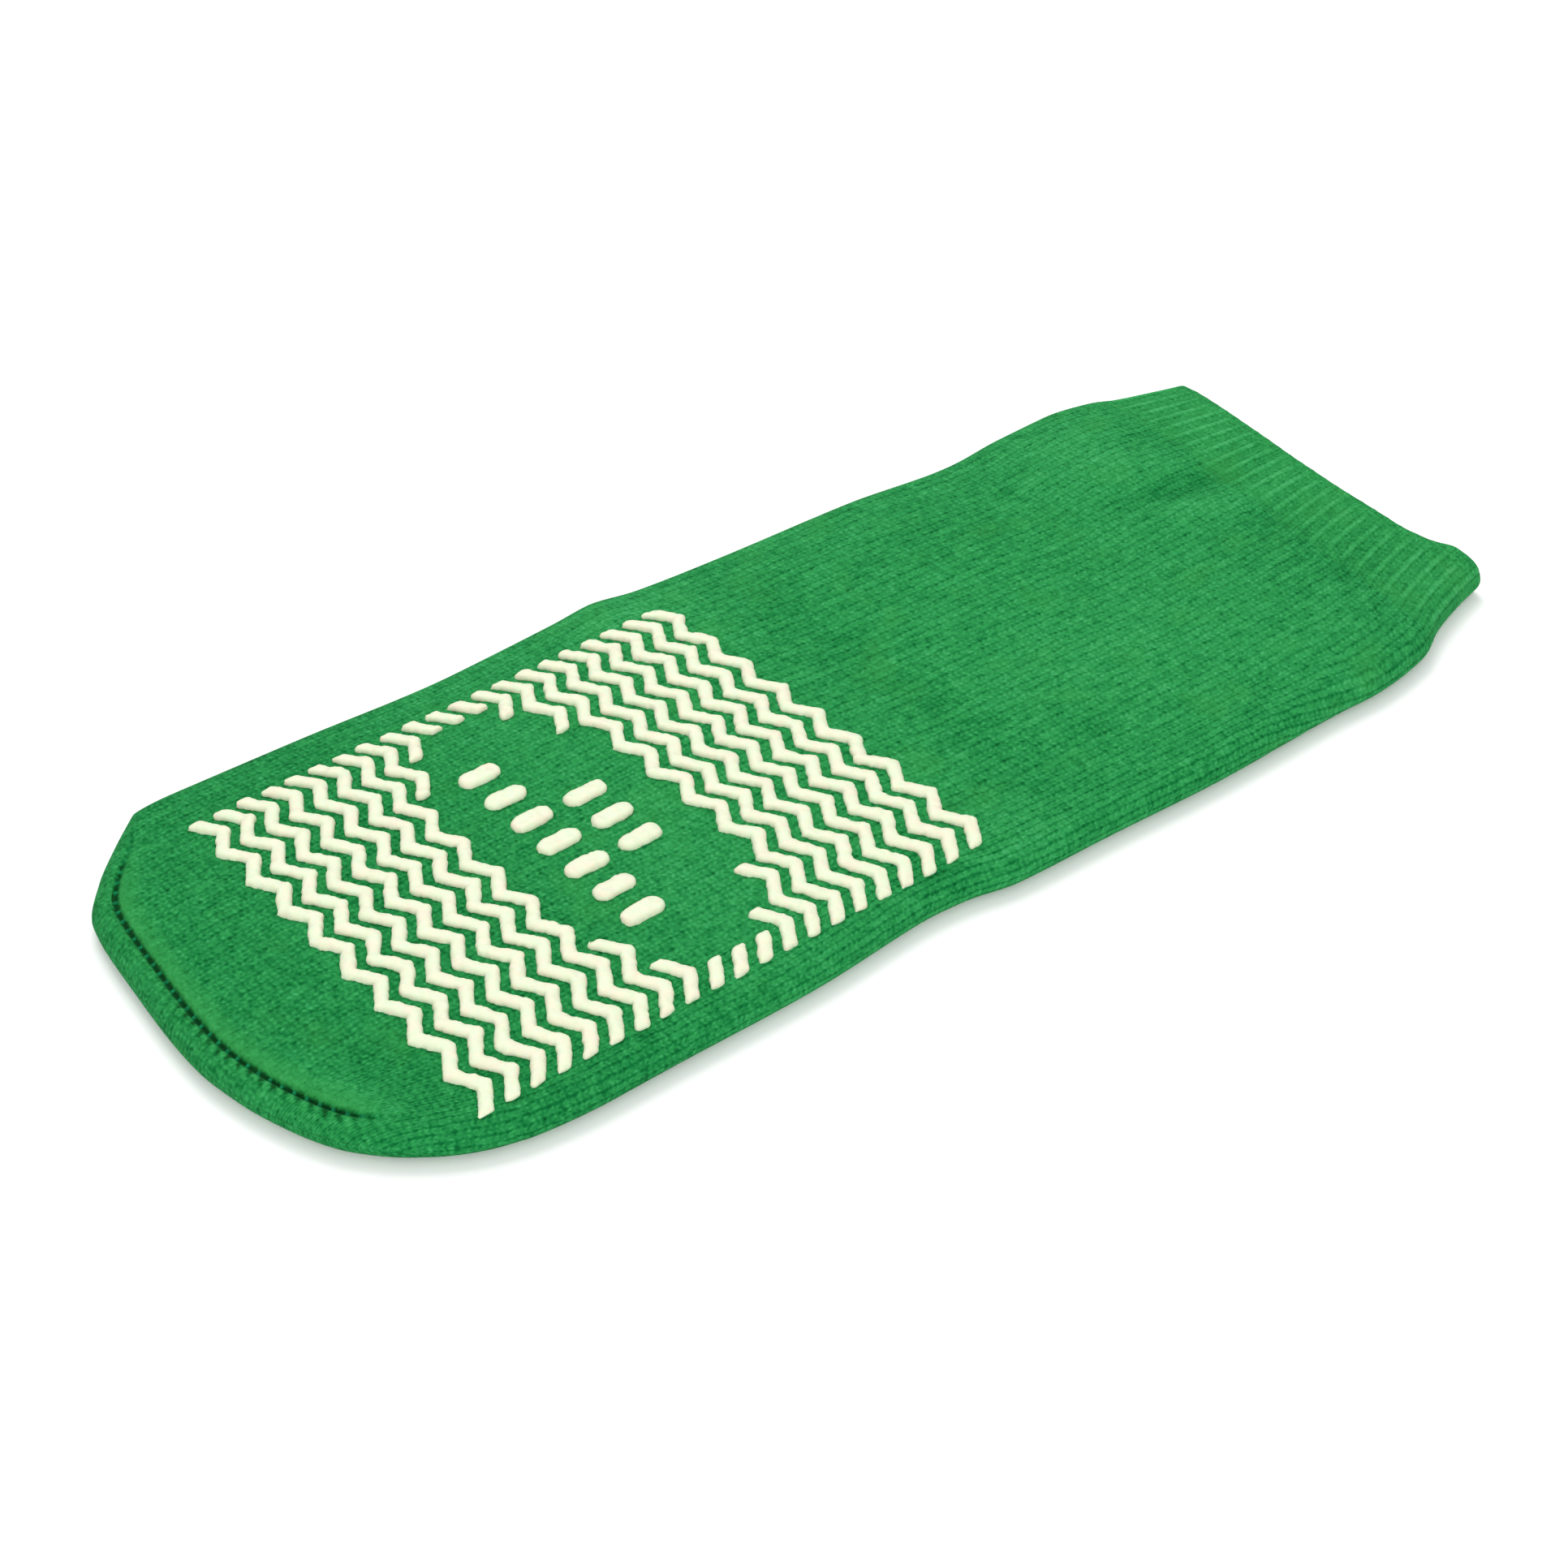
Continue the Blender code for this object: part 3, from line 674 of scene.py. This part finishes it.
count_toe_courses(outer_rows, np.searchsorted(outer_stations, TOE_BLEND))
bend_toe_courses(outer_rows, outer_stations, np.searchsorted(outer_stations, BEND_END))
inner_rows = np.array([tube_row(station, WALL, False) for station in inner_stations])
# dip and crease carry the painted shade and light of the dip and the creases; the seam fields place the
# seam's painted shade and highlight.
tube_fields = ("dip", "seam_gap", "seam_count", "seam_reach", "crease")
tube = rolled_sheet("foot_and_leg", np.concatenate([outer_rows, inner_rows]), tube_fields)
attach(tube, "root")
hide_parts("knit_tube")
print("foot and leg", len(tube.data.polygons), "faces,", len(outer_stations), "rows")

# %% [markdown]
# The cuff is one-by-one rib: a raised wale, then a sunk one, so each rib takes two wales of the leg. Rib
# pulls together, so its ridges are real relief and not a drawing: each is a narrow raised line with a
# wide hollow beside it. It is the same rolled sheet, this time with the ribs worked into the depth of its
# points, a thick turned edge at the rim, and the sheet taken right back to its own start inside, so that
# it closes to a ring.

# %% Ribbed cuff
RIBS = WALES // 2
HALF_RIBS = RIBS // 2
COLUMNS_PER_RIB = 12
RIB_RELIEF = 0.00024
RIB_SHARPNESS = 4
BASE_RELIEF = 0.25
RIM_RELIEF = 0.35
RIM_FADE = 0.25
CUFF_ROW_STEP = 0.0009
TURN_ROWS = 8
CUFF_INNER_ROWS = 8
RIM_ROUND = 0.55
RIB_RISE_RUN = 0.0045


def cuff_row(share, depth, back, relief, dip):
    """One course of the cuff, right round the leg."""
    girth = np.linspace(0.0, 1.0, HALF_RIBS * COLUMNS_PER_RIB + 1)
    rib = girth * HALF_RIBS
    crest = (0.5 + 0.5 * np.sin(2 * math.pi * rib)) ** RIB_SHARPNESS
    deep = depth + RIB_RELIEF * relief * (1 - crest) + BASE_DIP * dip
    x, y, across = plan_row(lambda at: cuff_y(at, share, back), deep, girth)
    over = skin_height(x, y, deep, True)
    under = skin_height(x, y, deep, False)
    over[0] = over[-1] = under[0] = under[-1] = FOLD_MIDDLE
    wale = 2 * rib
    course = (y - cuff_y(across, 0.0, back)) / COURSE
    fields = [
        round_tube(x, x),
        round_tube(y, y),
        round_tube(over, under),
        np.concatenate([wale, RIBS + wale[1:]]),
        round_tube(course, course),
        np.full(2 * len(x) - 1, dip),
        round_tube(relief * crest, relief * crest),
        round_tube(crease_rise(x, y) / WALL, 0 * x),
    ]
    return np.column_stack(fields)


CUFF_LENGTH = CUFF_DEPTH + BASE_TILT / 2
cuff_rows = []
for share in np.linspace(0.0, 1.0, round(CUFF_LENGTH / CUFF_ROW_STEP)):
    run = share * CUFF_LENGTH
    relief = mix(BASE_RELIEF, 1.0, ease(run / RIB_RISE_RUN))
    relief = relief * mix(1.0, RIM_RELIEF, ease(1 - (1 - share) / RIM_FADE))
    dip = math.exp(-(run / BASE_DIP_RUN) ** 2)
    cuff_rows.append(cuff_row(share, 0.0, RIM_ROUND * CUFF_WALL, relief, dip))
for turn in np.linspace(0.0, math.pi, TURN_ROWS)[1:-1]:
    depth = (CUFF_STEP + CUFF_WALL) * (1 - math.cos(turn)) / 2
    back = RIM_ROUND * CUFF_WALL * (1 - math.sin(turn))
    relief = RIM_RELIEF * (0.5 + 0.5 * math.cos(turn))
    cuff_rows.append(cuff_row(1.0, depth, back, relief, 0.0))
for share in np.linspace(1.0, 0.0, CUFF_INNER_ROWS):
    cuff_rows.append(cuff_row(share, CUFF_STEP + CUFF_WALL, RIM_ROUND * CUFF_WALL, 0.0, 0.0))
cuff_rows.append(cuff_rows[0])
# rib_crest places the painted highlight on the ridges; dip and crease carry painted shade and light.
cuff = rolled_sheet("ribbed_cuff", np.array(cuff_rows), ("dip", "rib_crest", "crease"))
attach(cuff, "root")
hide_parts("rib_cuff")
print("cuff", len(cuff.data.polygons), "faces,", RIBS, "ribs")

# %% [markdown]
# The toe is closed by a row of linked stitches, which sinks between the two halves of the toe like thread
# in a quilt. Small bars of yarn bridge the groove and leave a hole between neighbours, which the knit's
# colour darkens with painted shade. One bar is a sphere drawn out into a short plump capsule, set across
# the groove, leaning a little, and repeated along it.

# %% Stitches of the toe seam
STITCH_SIZE = (0.0008, 0.0017, 0.0007)
STITCH_LEAN = math.radians(18)
STITCH_SUNK = 0.95
STITCH_FADE = 0.00045
STITCHED = (-0.88, 0.78)

stitch_run = np.arange(STITCH_PITCH, seam_run[-1] - STITCH_PITCH, STITCH_PITCH)
stitch_x = np.interp(stitch_run, seam_run, seam_x)
stitch_y = np.interp(stitch_run, seam_run, seam_y)
stitch_across = np.interp(stitch_run, seam_run, seam_across)
stitch_sunk = SEAM_REACH.read("sink", stitch_across)
stitch_deep = SEAM_DEPTH * STITCH_SUNK * stitch_sunk + STITCH_FADE * (1 - stitch_sunk)
stitch_z = skin_height(stitch_x, stitch_y, 0.0, True) - stitch_deep

bpy.ops.object.select_all(action="DESELECT")
stitches = []
for k in range(1, len(stitch_run) - 1):
    if not STITCHED[0] < stitch_across[k] < STITCHED[1]:
        continue
    bearing = math.atan2(stitch_y[k + 1] - stitch_y[k - 1], stitch_x[k + 1] - stitch_x[k - 1])
    bpy.ops.mesh.primitive_uv_sphere_add(
        segments=12, ring_count=8, radius=0.5, scale=STITCH_SIZE,
        location=(stitch_x[k], stitch_y[k], stitch_z[k]),
        rotation=(0.0, 0.0, bearing + STITCH_LEAN),
    )
    stitches.append(bpy.context.object)
for stitch in stitches:
    stitch.select_set(True)
bpy.context.view_layer.objects.active = stitches[0]
bpy.ops.object.join()
bpy.ops.object.transform_apply(location=True, rotation=True, scale=True)
bpy.ops.object.shade_smooth()
seam = bpy.context.object
seam.name = "toe_seam_stitches"
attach(seam, "root")
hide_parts("toe_seam")
print("toe seam", len(stitches), "stitches")

# %% [markdown]
# The grip is thick rubber paint, pressed through a screen onto the knit and cured. It starts from the
# packed strips, so it stays exactly where they are. Each strip is let down onto the knit, then remeshed
# into small even faces, so that smoothing can round its edges as surface tension does, and a little noise
# leaves the outline as uneven as paint on loops.

# %% Printed grip
BOTTOM_BAND = 1.5 * PIECE_GAP
SINK_INTO_KNIT = 0.00015
PRINT_LOWERED = 0.00012
PRINT_VOXEL = 0.00032
PRINT_SMOOTHING = 9
PRINT_NOISE_SIZE = 0.0021
PRINT_NOISE = 0.00070
PRINT_SWELL = 0.11

print_noise = bpy.data.textures.new("print_noise", "CLOUDS")
print_noise.noise_scale = PRINT_NOISE_SIZE


def apply_modifier(piece, kind, settings):
    modifier = piece.modifiers.new(kind.lower(), kind)
    for key, value in settings.items():
        setattr(modifier, key, value)
    bpy.ops.object.modifier_apply(modifier=modifier.name)


def printed_strip(node):
    """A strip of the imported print, let down onto the knit and softened."""
    bpy.ops.object.select_all(action="DESELECT")
    strip = bpy.data.objects.new(node.replace("grip", "print"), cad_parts[node].data.copy())
    bpy.context.scene.collection.objects.link(strip)
    strip.select_set(True)
    bpy.context.view_layer.objects.active = strip
    bpy.ops.object.mode_set(mode="EDIT")
    bpy.ops.mesh.select_all(action="SELECT")
    bpy.ops.mesh.remove_doubles(threshold=MERGE)
    bpy.ops.object.mode_set(mode="OBJECT")
    flat = np.zeros(3 * len(strip.data.vertices))
    strip.data.vertices.foreach_get("co", flat)
    places = flat.reshape(-1, 3)
    skin = skin_height(places[:, 0], places[:, 1], 0.0, True)
    bottom = places[:, 2] - skin < BOTTOM_BAND
    places[:, 2] -= PIECE_GAP + PRINT_LOWERED
    places[bottom, 2] -= SINK_INTO_KNIT
    strip.data.vertices.foreach_set("co", places.ravel())
    apply_modifier(strip, "REMESH", {"mode": "VOXEL", "voxel_size": PRINT_VOXEL})
    apply_modifier(strip, "SMOOTH", {"factor": 0.5, "iterations": PRINT_SMOOTHING})
    swell = {"texture": print_noise, "strength": PRINT_NOISE, "mid_level": PRINT_SWELL}
    apply_modifier(strip, "DISPLACE", swell)
    bpy.ops.object.shade_smooth()
    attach(strip, "root")
    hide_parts(node)
    return strip


grip_nodes = sorted(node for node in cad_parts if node.startswith("grip_"))
prints = [printed_strip(node) for node in grip_nodes]
print("print", len(prints), "strips,", sum(len(strip.data.polygons) for strip in prints), "faces")

# %% [markdown]
# A material in Blender is a graph of nodes. Written out node by node it is hard to read, so two small
# helpers make it read like arithmetic: a Wire is one socket that can be added, multiplied and so on, and
# a Graph adds any other node, with its settings and with what goes into its sockets.


# %% Wires
class Wire:
    """One socket in a shader graph. Arithmetic on wires adds Math nodes."""

    def __init__(self, graph, socket):
        self.graph = graph
        self.socket = socket

    def maths(self, operation, *values):
        return self.graph.node("Math", {"operation": operation}, dict(enumerate(values)))

    def __add__(self, other):
        return self.maths("ADD", self, other)

    def __sub__(self, other):
        return self.maths("SUBTRACT", self, other)

    def __rsub__(self, other):
        return self.maths("SUBTRACT", other, self)

    def __mul__(self, other):
        return self.maths("MULTIPLY", self, other)

    def __truediv__(self, other):
        return self.maths("DIVIDE", self, other)

    def __pow__(self, other):
        return self.maths("POWER", self, other)

    def __abs__(self):
        return self.maths("ABSOLUTE", self)

    def floor(self):
        return self.maths("FLOOR", self)

    def fract(self):
        return self.maths("FRACT", self)

    def clipped(self):
        return self.graph.node("Clamp", {}, {"Value": self})

    __radd__ = __add__
    __rmul__ = __mul__


# %% [markdown]
# A graph belongs to one material. It adds a node, sets it up and gives back a wire from one of its
# outputs. The nodes that are used again and again, such as a noise, a wave, a ramp or a mix of two
# colours, have a method of their own. At the end, dress puts a finished material on a piece.


# %% Graphs
class Graph:
    """A material and its nodes."""

    def __init__(self, name):
        self.material = bpy.data.materials.new(name)
        self.material.use_nodes = True
        self.tree = self.material.node_tree
        self.tree.nodes.clear()

    def node(self, kind, settings, sockets, output=0):
        node = self.tree.nodes.new("ShaderNode" + kind)
        for key, value in settings.items():
            if key == "stops":
                set_stops(node.color_ramp, value)
            else:
                setattr(node, key, value)
        for key, value in sockets.items():
            if isinstance(value, Wire):
                self.tree.links.new(value.socket, node.inputs[key])
            else:
                node.inputs[key].default_value = value
        return Wire(self, node.outputs[output])

    def place(self):
        """The place on the piece, in metres."""
        return self.node("TexCoord", {}, {}, output=3)

    def part(self, vector, axis):
        return self.node("SeparateXYZ", {}, {0: vector}, output=axis)

    def vector(self, x, y, z):
        return self.node("CombineXYZ", {}, {0: x, 1: y, 2: z})

    def attribute(self, name):
        return self.node("Attribute", {"attribute_name": name}, {}, output=2)

    def noise(self, place, scale, detail):
        sockets = {"Vector": place, "Scale": scale, "Detail": detail}
        return self.node("TexNoise", {}, sockets)

    def chance(self, cell):
        """A number of its own, from 0 to 1, for each cell."""
        return self.node("TexWhiteNoise", {"noise_dimensions": "3D"}, {"Vector": cell})

    def ramp(self, share, stops):
        return self.node("ValToRGB", {"stops": stops}, {"Fac": share})

    def bump(self, height, distance, strength):
        sockets = {"Strength": strength, "Distance": distance, "Height": height}
        return self.node("Bump", {}, sockets)

    def wave(self, phase):
        """1 at every whole number and 0 half-way between."""
        return self.node("Math", {"operation": "COSINE"}, {0: phase * (2 * math.pi)}) * 0.5 + 0.5

    def mix_colours(self, share, first, second):
        """A ramp's colour, first, mixed with a plain one, second."""
        return self.node("Mix", {"data_type": "RGBA"}, {0: share, 6: first, 7: (*second, 1.0)}, output=2)

    def finish(self, sockets):
        surface = self.node("BsdfPrincipled", {}, sockets)
        output = self.tree.nodes.new("ShaderNodeOutputMaterial")
        self.tree.links.new(surface.socket, output.inputs["Surface"])
        print("material", self.material.name, len(self.tree.nodes), "nodes")
        return self.material


def set_stops(ramp, stops):
    while len(ramp.elements) < len(stops):
        ramp.elements.new(0.5)
    for element, (position, colour) in zip(ramp.elements, stops):
        element.position = position
        element.color = (*colour, 1.0)


def dress(piece, material):
    piece.data.materials.clear()
    piece.data.materials.append(material)


# %% [markdown]
# Seen close, plain knit is rows of small Vs, one column of Vs for each wale. The two legs of a V are
# plump little strands, and the shadows between them are what the eye reads as knit: small holes between
# the legs, and a furrow between one wale and the next. These shadows are painted into the colour as shade,
# and the crown of each strand is partly a painted highlight. No two loops are alike, so each hole and each
# strand draws a number of its own, and the loops stray a little. Wales also differ from each other, which
# gives long light and dark streaks. The pattern is worked out from the UV map, which counts wales and
# courses.

# %% Pattern of the knit
V_SLANT = 0.50
# How far the loops stray, in wales and in courses.
WALE_STRAY = 0.5
COURSE_STRAY = 1.2
# The foot ends at this course, the near fold lies at this wale, and both fade out at these rates.
FOOT_COURSES = 95.0
FOOT_FADE = 0.03
NEAR_FOLD = HALF_WALES + NEAR_EXTRA_WALES
NEAR_FADE = 0.10
# Furrows, painted shade between wales: how strong they are on the leg, less on the foot, more by the near
# fold.
FURROW = 0.60
FURROW_LESS_ON_FOOT = 0.30
FURROW_MORE_AT_FOLD = 0.9
# Holes, painted shade between the legs of a V: least and most, and how much is left of them out of
# the furrows.
HOLE_LEAST = 0.25
HOLE_CHANCE = 1.1
HOLE_ON_WALE = 0.30
HOLE_ON_FOOT = 0.40
HOLE_LESS_AT_FOLD = 0.35
# Strands, partly a painted highlight on their crowns: least and most. Streaks: how quickly they change
# along a wale, and less on the foot.
STRAND_LEAST = 0.4
STRAND_CHANCE = 1.2
STREAK_CHANGE = 0.15
STREAK_LESS_ON_FOOT = 0.45
# Depth of the gap between loops and of the furrow, as shares of the bump.
GAP_DEPTH = 0.26
FURROW_DEPTH = 0.32


def knit_pattern(graph, place):
    """Plain knit: relief, holes and furrows for painted shade, strands for a painted highlight, streaks.
    """
    uneven = graph.noise(place, scale=330.0, detail=1.0) - 0.5
    uv = graph.node("UVMap", {"uv_map": "wale_course"}, {})
    across = graph.part(uv, 0)
    wale = across - uneven * WALE_STRAY
    course = graph.part(uv, 1) + uneven * COURSE_STRAY
    aside = abs(2 * wale.fract() - 1)
    phase = course - V_SLANT * aside
    gap = graph.wave(phase)
    ends = graph.wave(aside)
    furrow = aside * aside * (3 - 2 * aside)
    foot = ((FOOT_COURSES - course) * FOOT_FADE).clipped()
    near = (1 - abs(across - NEAR_FOLD) * NEAR_FADE).clipped()
    ropes = FURROW - FURROW_LESS_ON_FOOT * foot + FURROW_MORE_AT_FOLD * near
    hole_chance = graph.chance(graph.vector((wale * 2 + 0.5).floor(), (phase + 0.5).floor(), 0.5))
    hole = gap * ends * (HOLE_LEAST + HOLE_CHANCE * hole_chance ** 2)
    hole = hole * (furrow + (1 - furrow) * (HOLE_ON_WALE + HOLE_ON_FOOT * foot))
    hole = hole * (1 - HOLE_LESS_AT_FOLD * near)
    streak_place = graph.vector(across, course * STREAK_CHANGE, 0.0)
    streak = graph.noise(streak_place, scale=1.0, detail=1.0) - 0.5
    streak = streak * (1 - STREAK_LESS_ON_FOOT * foot)
    leg_chance = graph.chance(graph.vector((wale * 2).floor(), phase.floor(), 0.0))
    strand = (1 - gap) * (1 - ends) * (STRAND_LEAST + STRAND_CHANCE * leg_chance)
    relief = 1 - GAP_DEPTH * gap - FURROW_DEPTH * furrow
    return relief, hole, furrow * ropes, strand, streak


# %% [markdown]
# The yarn is a soft, matt, slightly hairy green. Every part of the pattern adds to its tone or takes from
# it, and a ramp turns the tone into a colour, from deep green in the gaps, which is painted shade, to
# bright green on the strands, which is partly a painted highlight. The toe, the dip and the crease troughs
# are painted darker as shade too. Three noises make it uneven: fibres, a mottle as large as a few loops,
# and faint clouds. Some patches, and the cloth drawn smooth behind the toe seam, are a warmer green, and
# that cloth is painted lighter as a highlight. The relief feeds a bump.

# %% Knitted yarn
# Deep green at the low end is painted shade in the gaps. Bright green at the top is partly a painted
# highlight on the strands.
YARN_STOPS = (
    (0.00, (0.0005, 0.040, 0.008)),
    (0.25, (0.0025, 0.122, 0.027)),
    (0.55, (0.0205, 0.238, 0.061)),
    (0.88, (0.060, 0.350, 0.126)),
)
# A warmer green for some patches and for the cuff, and part of the painted highlight behind the toe seam.
YARN_SUNNY = (0.036, 0.250, 0.049)
# What each part counts for in the tone, which runs from 0 to 1. Dark parts are taken off. Hole, furrow,
# toe, dip and crease troughs are painted shade; strand, crease ridges and the smooth cloth are partly
# painted highlight; streak, mottle, cloud and fibre are random tone.
TONE_MIDDLE = 0.482
TONE = {
    "strand": 0.15, "hole": 0.15, "furrow": 0.12, "streak": 0.28, "mottle": 0.48, "cloud": 0.05,
    "fibre": 0.50, "toe": 0.08, "smooth": 0.10, "dip": 0.02, "crease": 0.40,
}
# How much of the stitches is lost where cloth is drawn smooth, and where the painted shade over the
# toe begins.
SMOOTH_HIDES = 0.6
TOE_SHADE_START = -0.045
TOE_SHADE_RUN = 0.030
# How many patches are warmer, and how warm these and smooth cloth are. Behind the toe seam that warmth
# is part of a painted highlight.
SUNNY_SPREAD = 3
SUNNY_LEVEL = 1.7
SUNNY_SHARE = 0.35
SUNNY_SMOOTH = 0.45
# Depth of a hole and of the fibres, as shares of the bump.
HOLE_DEPTH = 0.28
FIBRE_DEPTH = 0.4
SHEEN_TINT = (0.45, 1.0, 0.60, 1.0)


def yarn_material(name, bump_height, shading):
    """Knitted yarn. shading gives its painted shade, smoothness with painted highlight, and extra height.
    """
    graph = Graph(name)
    place = graph.place()
    darkness, smooth, lift = shading(graph)
    relief, hole, furrow, strand, streak = knit_pattern(graph, place)
    cloud = graph.noise(place, scale=60.0, detail=3.0) - 0.5
    mottle = graph.noise(place, scale=650.0, detail=2.0) - 0.5
    fibre = graph.noise(place, scale=1800.0, detail=2.0) - 0.5
    # Painted shade, darker towards the toe.
    toe = ((TOE_SHADE_START - graph.part(place, 1)) / TOE_SHADE_RUN).clipped()
    # Painted highlight on the strands, painted shade in the holes and furrows, and random streaks.
    stitches = TONE["strand"] * strand - TONE["hole"] * hole - TONE["furrow"] * furrow
    stitches = stitches + TONE["streak"] * streak
    tone = TONE_MIDDLE + stitches * (1 - SMOOTH_HIDES * smooth)
    tone = tone + TONE["mottle"] * mottle + TONE["cloud"] * cloud + TONE["fibre"] * fibre
    # Painted shade over the toe, a painted highlight on smooth cloth, and the shading's painted shade and
    # light.
    tone = tone - TONE["toe"] * toe + TONE["smooth"] * smooth - darkness
    patch = graph.noise(place, scale=90.0, detail=1.0)
    sunny = (patch * SUNNY_SPREAD - SUNNY_LEVEL).clipped() * SUNNY_SHARE + SUNNY_SMOOTH * smooth
    height = relief - HOLE_DEPTH * hole + fibre * FIBRE_DEPTH + lift
    return graph.finish({
        "Base Color": graph.mix_colours(sunny, graph.ramp(tone.clipped(), YARN_STOPS), YARN_SUNNY),
        "Roughness": 0.95,
        "Sheen Weight": 0.03,
        "Sheen Roughness": 0.5,
        "Sheen Tint": SHEEN_TINT,
        "Specular IOR Level": 0.04,
        "Normal": graph.bump(height, bump_height, 1.0),
    })


# %% [markdown]
# On the foot, the toe seam needs a shading of its own, painted into the colour. The groove gets painted
# shade, darkest half-way between two stitches. On its near half, short ticks of painted shade run from it
# towards the toe, where the linked yarn pulls, with a painted highlight between them. The cloth behind the
# seam is drawn smooth and painted lighter as a highlight. The dip and the creases get painted shade in
# their troughs and painted light on the crease ridges. All of it is read from the attributes that the
# rows carry: the distance from the seam, in halves of its width and below zero towards the toe, and the
# count of stitches along it.

# %% Shading of foot and leg
FOOT_BUMP = 0.00017
# Where the groove's dark band ends, and how soon.
GROOVE_EDGE = 1.16
GROOVE_FADE = 2.0
# The ticks lean, start at this stitch, lie at this distance from the seam, and are this thin.
TICK_LEAN = 0.25
TICK_FIRST = 18
TICK_FIRST_FADE = 0.15
TICK_PLACE = 0.85
TICK_FADE = 0.9
TICK_THINNESS = 5
TICK_DEPTH = 0.4
# Painted shade taken from the tone in the groove, its dashes and the ticks, and painted highlight given
# back between the ticks.
GROOVE_SHADE = 0.18
DASH_SHADE = 0.56
TICK_SHADE = 0.44
TICK_GAP_HIGHLIGHT = 0.16
# The smooth cloth, painted lighter as a highlight: how wide it is, and how much of it lies before the
# seam and behind it.
SMOOTH_FADE = 0.28
SMOOTH_BEFORE = 0.25
SMOOTH_BEHIND = 0.75
SMOOTH_RISE = 2


def tube_shading(graph):
    """Painted shade of dashes in the seam's groove, short ticks beside it, and the shadows of dip and
    creases.
    """
    gap = graph.attribute("seam_gap")
    reach = graph.attribute("seam_reach")
    count = graph.attribute("seam_count") + TICK_LEAN * gap
    between = 1 - (2 * count.fract() - 1) ** 2
    bottom = (GROOVE_EDGE - abs(gap) * GROOVE_FADE).clipped()
    near_half = ((count - TICK_FIRST) * TICK_FIRST_FADE).clipped()
    comb = (1 - abs(gap + TICK_PLACE) * TICK_FADE).clipped() * near_half
    tick = comb * between ** TICK_THINNESS
    # Painted shade in the groove, darkest in the dashes between stitches, painted shade in the ticks, and
    # a painted highlight between them.
    groove = bottom * (GROOVE_SHADE + DASH_SHADE * between)
    groove = reach * (groove + TICK_SHADE * tick - TICK_GAP_HIGHLIGHT * comb * (1 - between))
    behind = SMOOTH_BEFORE + SMOOTH_BEHIND * (gap * SMOOTH_RISE).clipped()
    # The smooth cloth behind the seam, which is also painted lighter as a highlight.
    smooth = reach * (1 - abs(gap) * SMOOTH_FADE).clipped() * (1 - bottom) * behind
    # Painted shade in the dip and in crease troughs, and painted light on crease ridges.
    shadows = TONE["dip"] * graph.attribute("dip") - TONE["crease"] * graph.attribute("crease")
    return groove + shadows, smooth, reach * tick * -TICK_DEPTH


dress(tube, yarn_material("plain_knit", FOOT_BUMP, tube_shading))

# %% [markdown]
# The cuff is the same yarn, with painted shade making it a shade darker in the hollows of the rib, and
# a thin light line on each ridge as a painted highlight.

# %% Shading of the cuff
CUFF_BUMP = 0.00014
# Painted shade over the cuff, and a painted highlight on its ridges.
CUFF_SHADE = 0.03
RIDGE_HIGHLIGHT = 0.26
CUFF_SMOOTH = 0.2


def cuff_shading(graph):
    """Painted highlights as thin light lines on the ribs, painted shade, and the dip's and creases'
    shadows.
    """
    # Painted shade in the dip and in crease troughs, and painted light on crease ridges.
    shadows = TONE["dip"] * graph.attribute("dip") - TONE["crease"] * graph.attribute("crease")
    darkness = CUFF_SHADE - RIDGE_HIGHLIGHT * graph.attribute("rib_crest") ** 2 + shadows
    return darkness, CUFF_SMOOTH, 0.0


dress(cuff, yarn_material("rib_knit", CUFF_BUMP, cuff_shading))

# %% [markdown]
# The seam thread is the same yarn, only packed tighter, so it needs no stitch pattern: a fine grain is
# enough at its size. Its deeper, bluer green is painted shade, for the groove that it lies in.

# %% Seam thread
# A darker copy of the yarn's green: painted shade for the groove.
SHADED_THREAD_STOPS = (
    (0.30, (0.001, 0.085, 0.028)),
    (0.70, (0.004, 0.200, 0.070)),
)


def thread_material():
    graph = Graph("seam_yarn")
    grain = graph.noise(graph.place(), scale=1800.0, detail=2.0)
    return graph.finish({
        "Base Color": graph.ramp(grain, SHADED_THREAD_STOPS),
        "Roughness": 0.95,
        "Specular IOR Level": 0.10,
        "Normal": graph.bump(grain, distance=0.0002, strength=0.6),
    })


dress(seam, thread_material())

# %% [markdown]
# The rubber is a warm cream with a soft satin skin that lets a little light in. Paint of this kind takes
# a little of the loops under it, so its top is faintly uneven, and in patches its colour turns a touch
# warmer.

# %% Cream rubber
RUBBER_STOPS = (
    (0.40, (0.610, 0.675, 0.485)),
    (0.75, (0.660, 0.625, 0.480)),
)
RUBBER_ROUGHNESS = 0.42
RUBBER_UNEVEN = 0.2


def rubber_material():
    graph = Graph("cream_rubber_paint")
    place = graph.place()
    patch = graph.noise(place, scale=320.0, detail=2.0)
    pebble = graph.noise(place, scale=1400.0, detail=2.0)
    return graph.finish({
        "Base Color": graph.ramp(patch, RUBBER_STOPS),
        "Roughness": RUBBER_ROUGHNESS + RUBBER_UNEVEN * pebble,
        "Subsurface Weight": 0.35,
        "Subsurface Scale": 0.0012,
        "Normal": graph.bump(pebble, distance=0.00012, strength=0.5),
    })


rubber = rubber_material()
for strip in prints:
    dress(strip, rubber)

# %% [markdown]
# The table is plain near-white board. It has no pattern, but a trace of unevenness keeps it from looking
# like a computer's white.

# %% Table top
TABLE_WHITE = (0.93, 0.93, 0.93, 1.0)


def table_material():
    graph = Graph("white_board")
    grain = graph.noise(graph.place(), scale=900.0, detail=2.0)
    return graph.finish({
        "Base Color": TABLE_WHITE,
        "Roughness": 0.8,
        "Normal": graph.bump(grain, distance=0.0001, strength=0.1),
    })


dress(table, table_material())
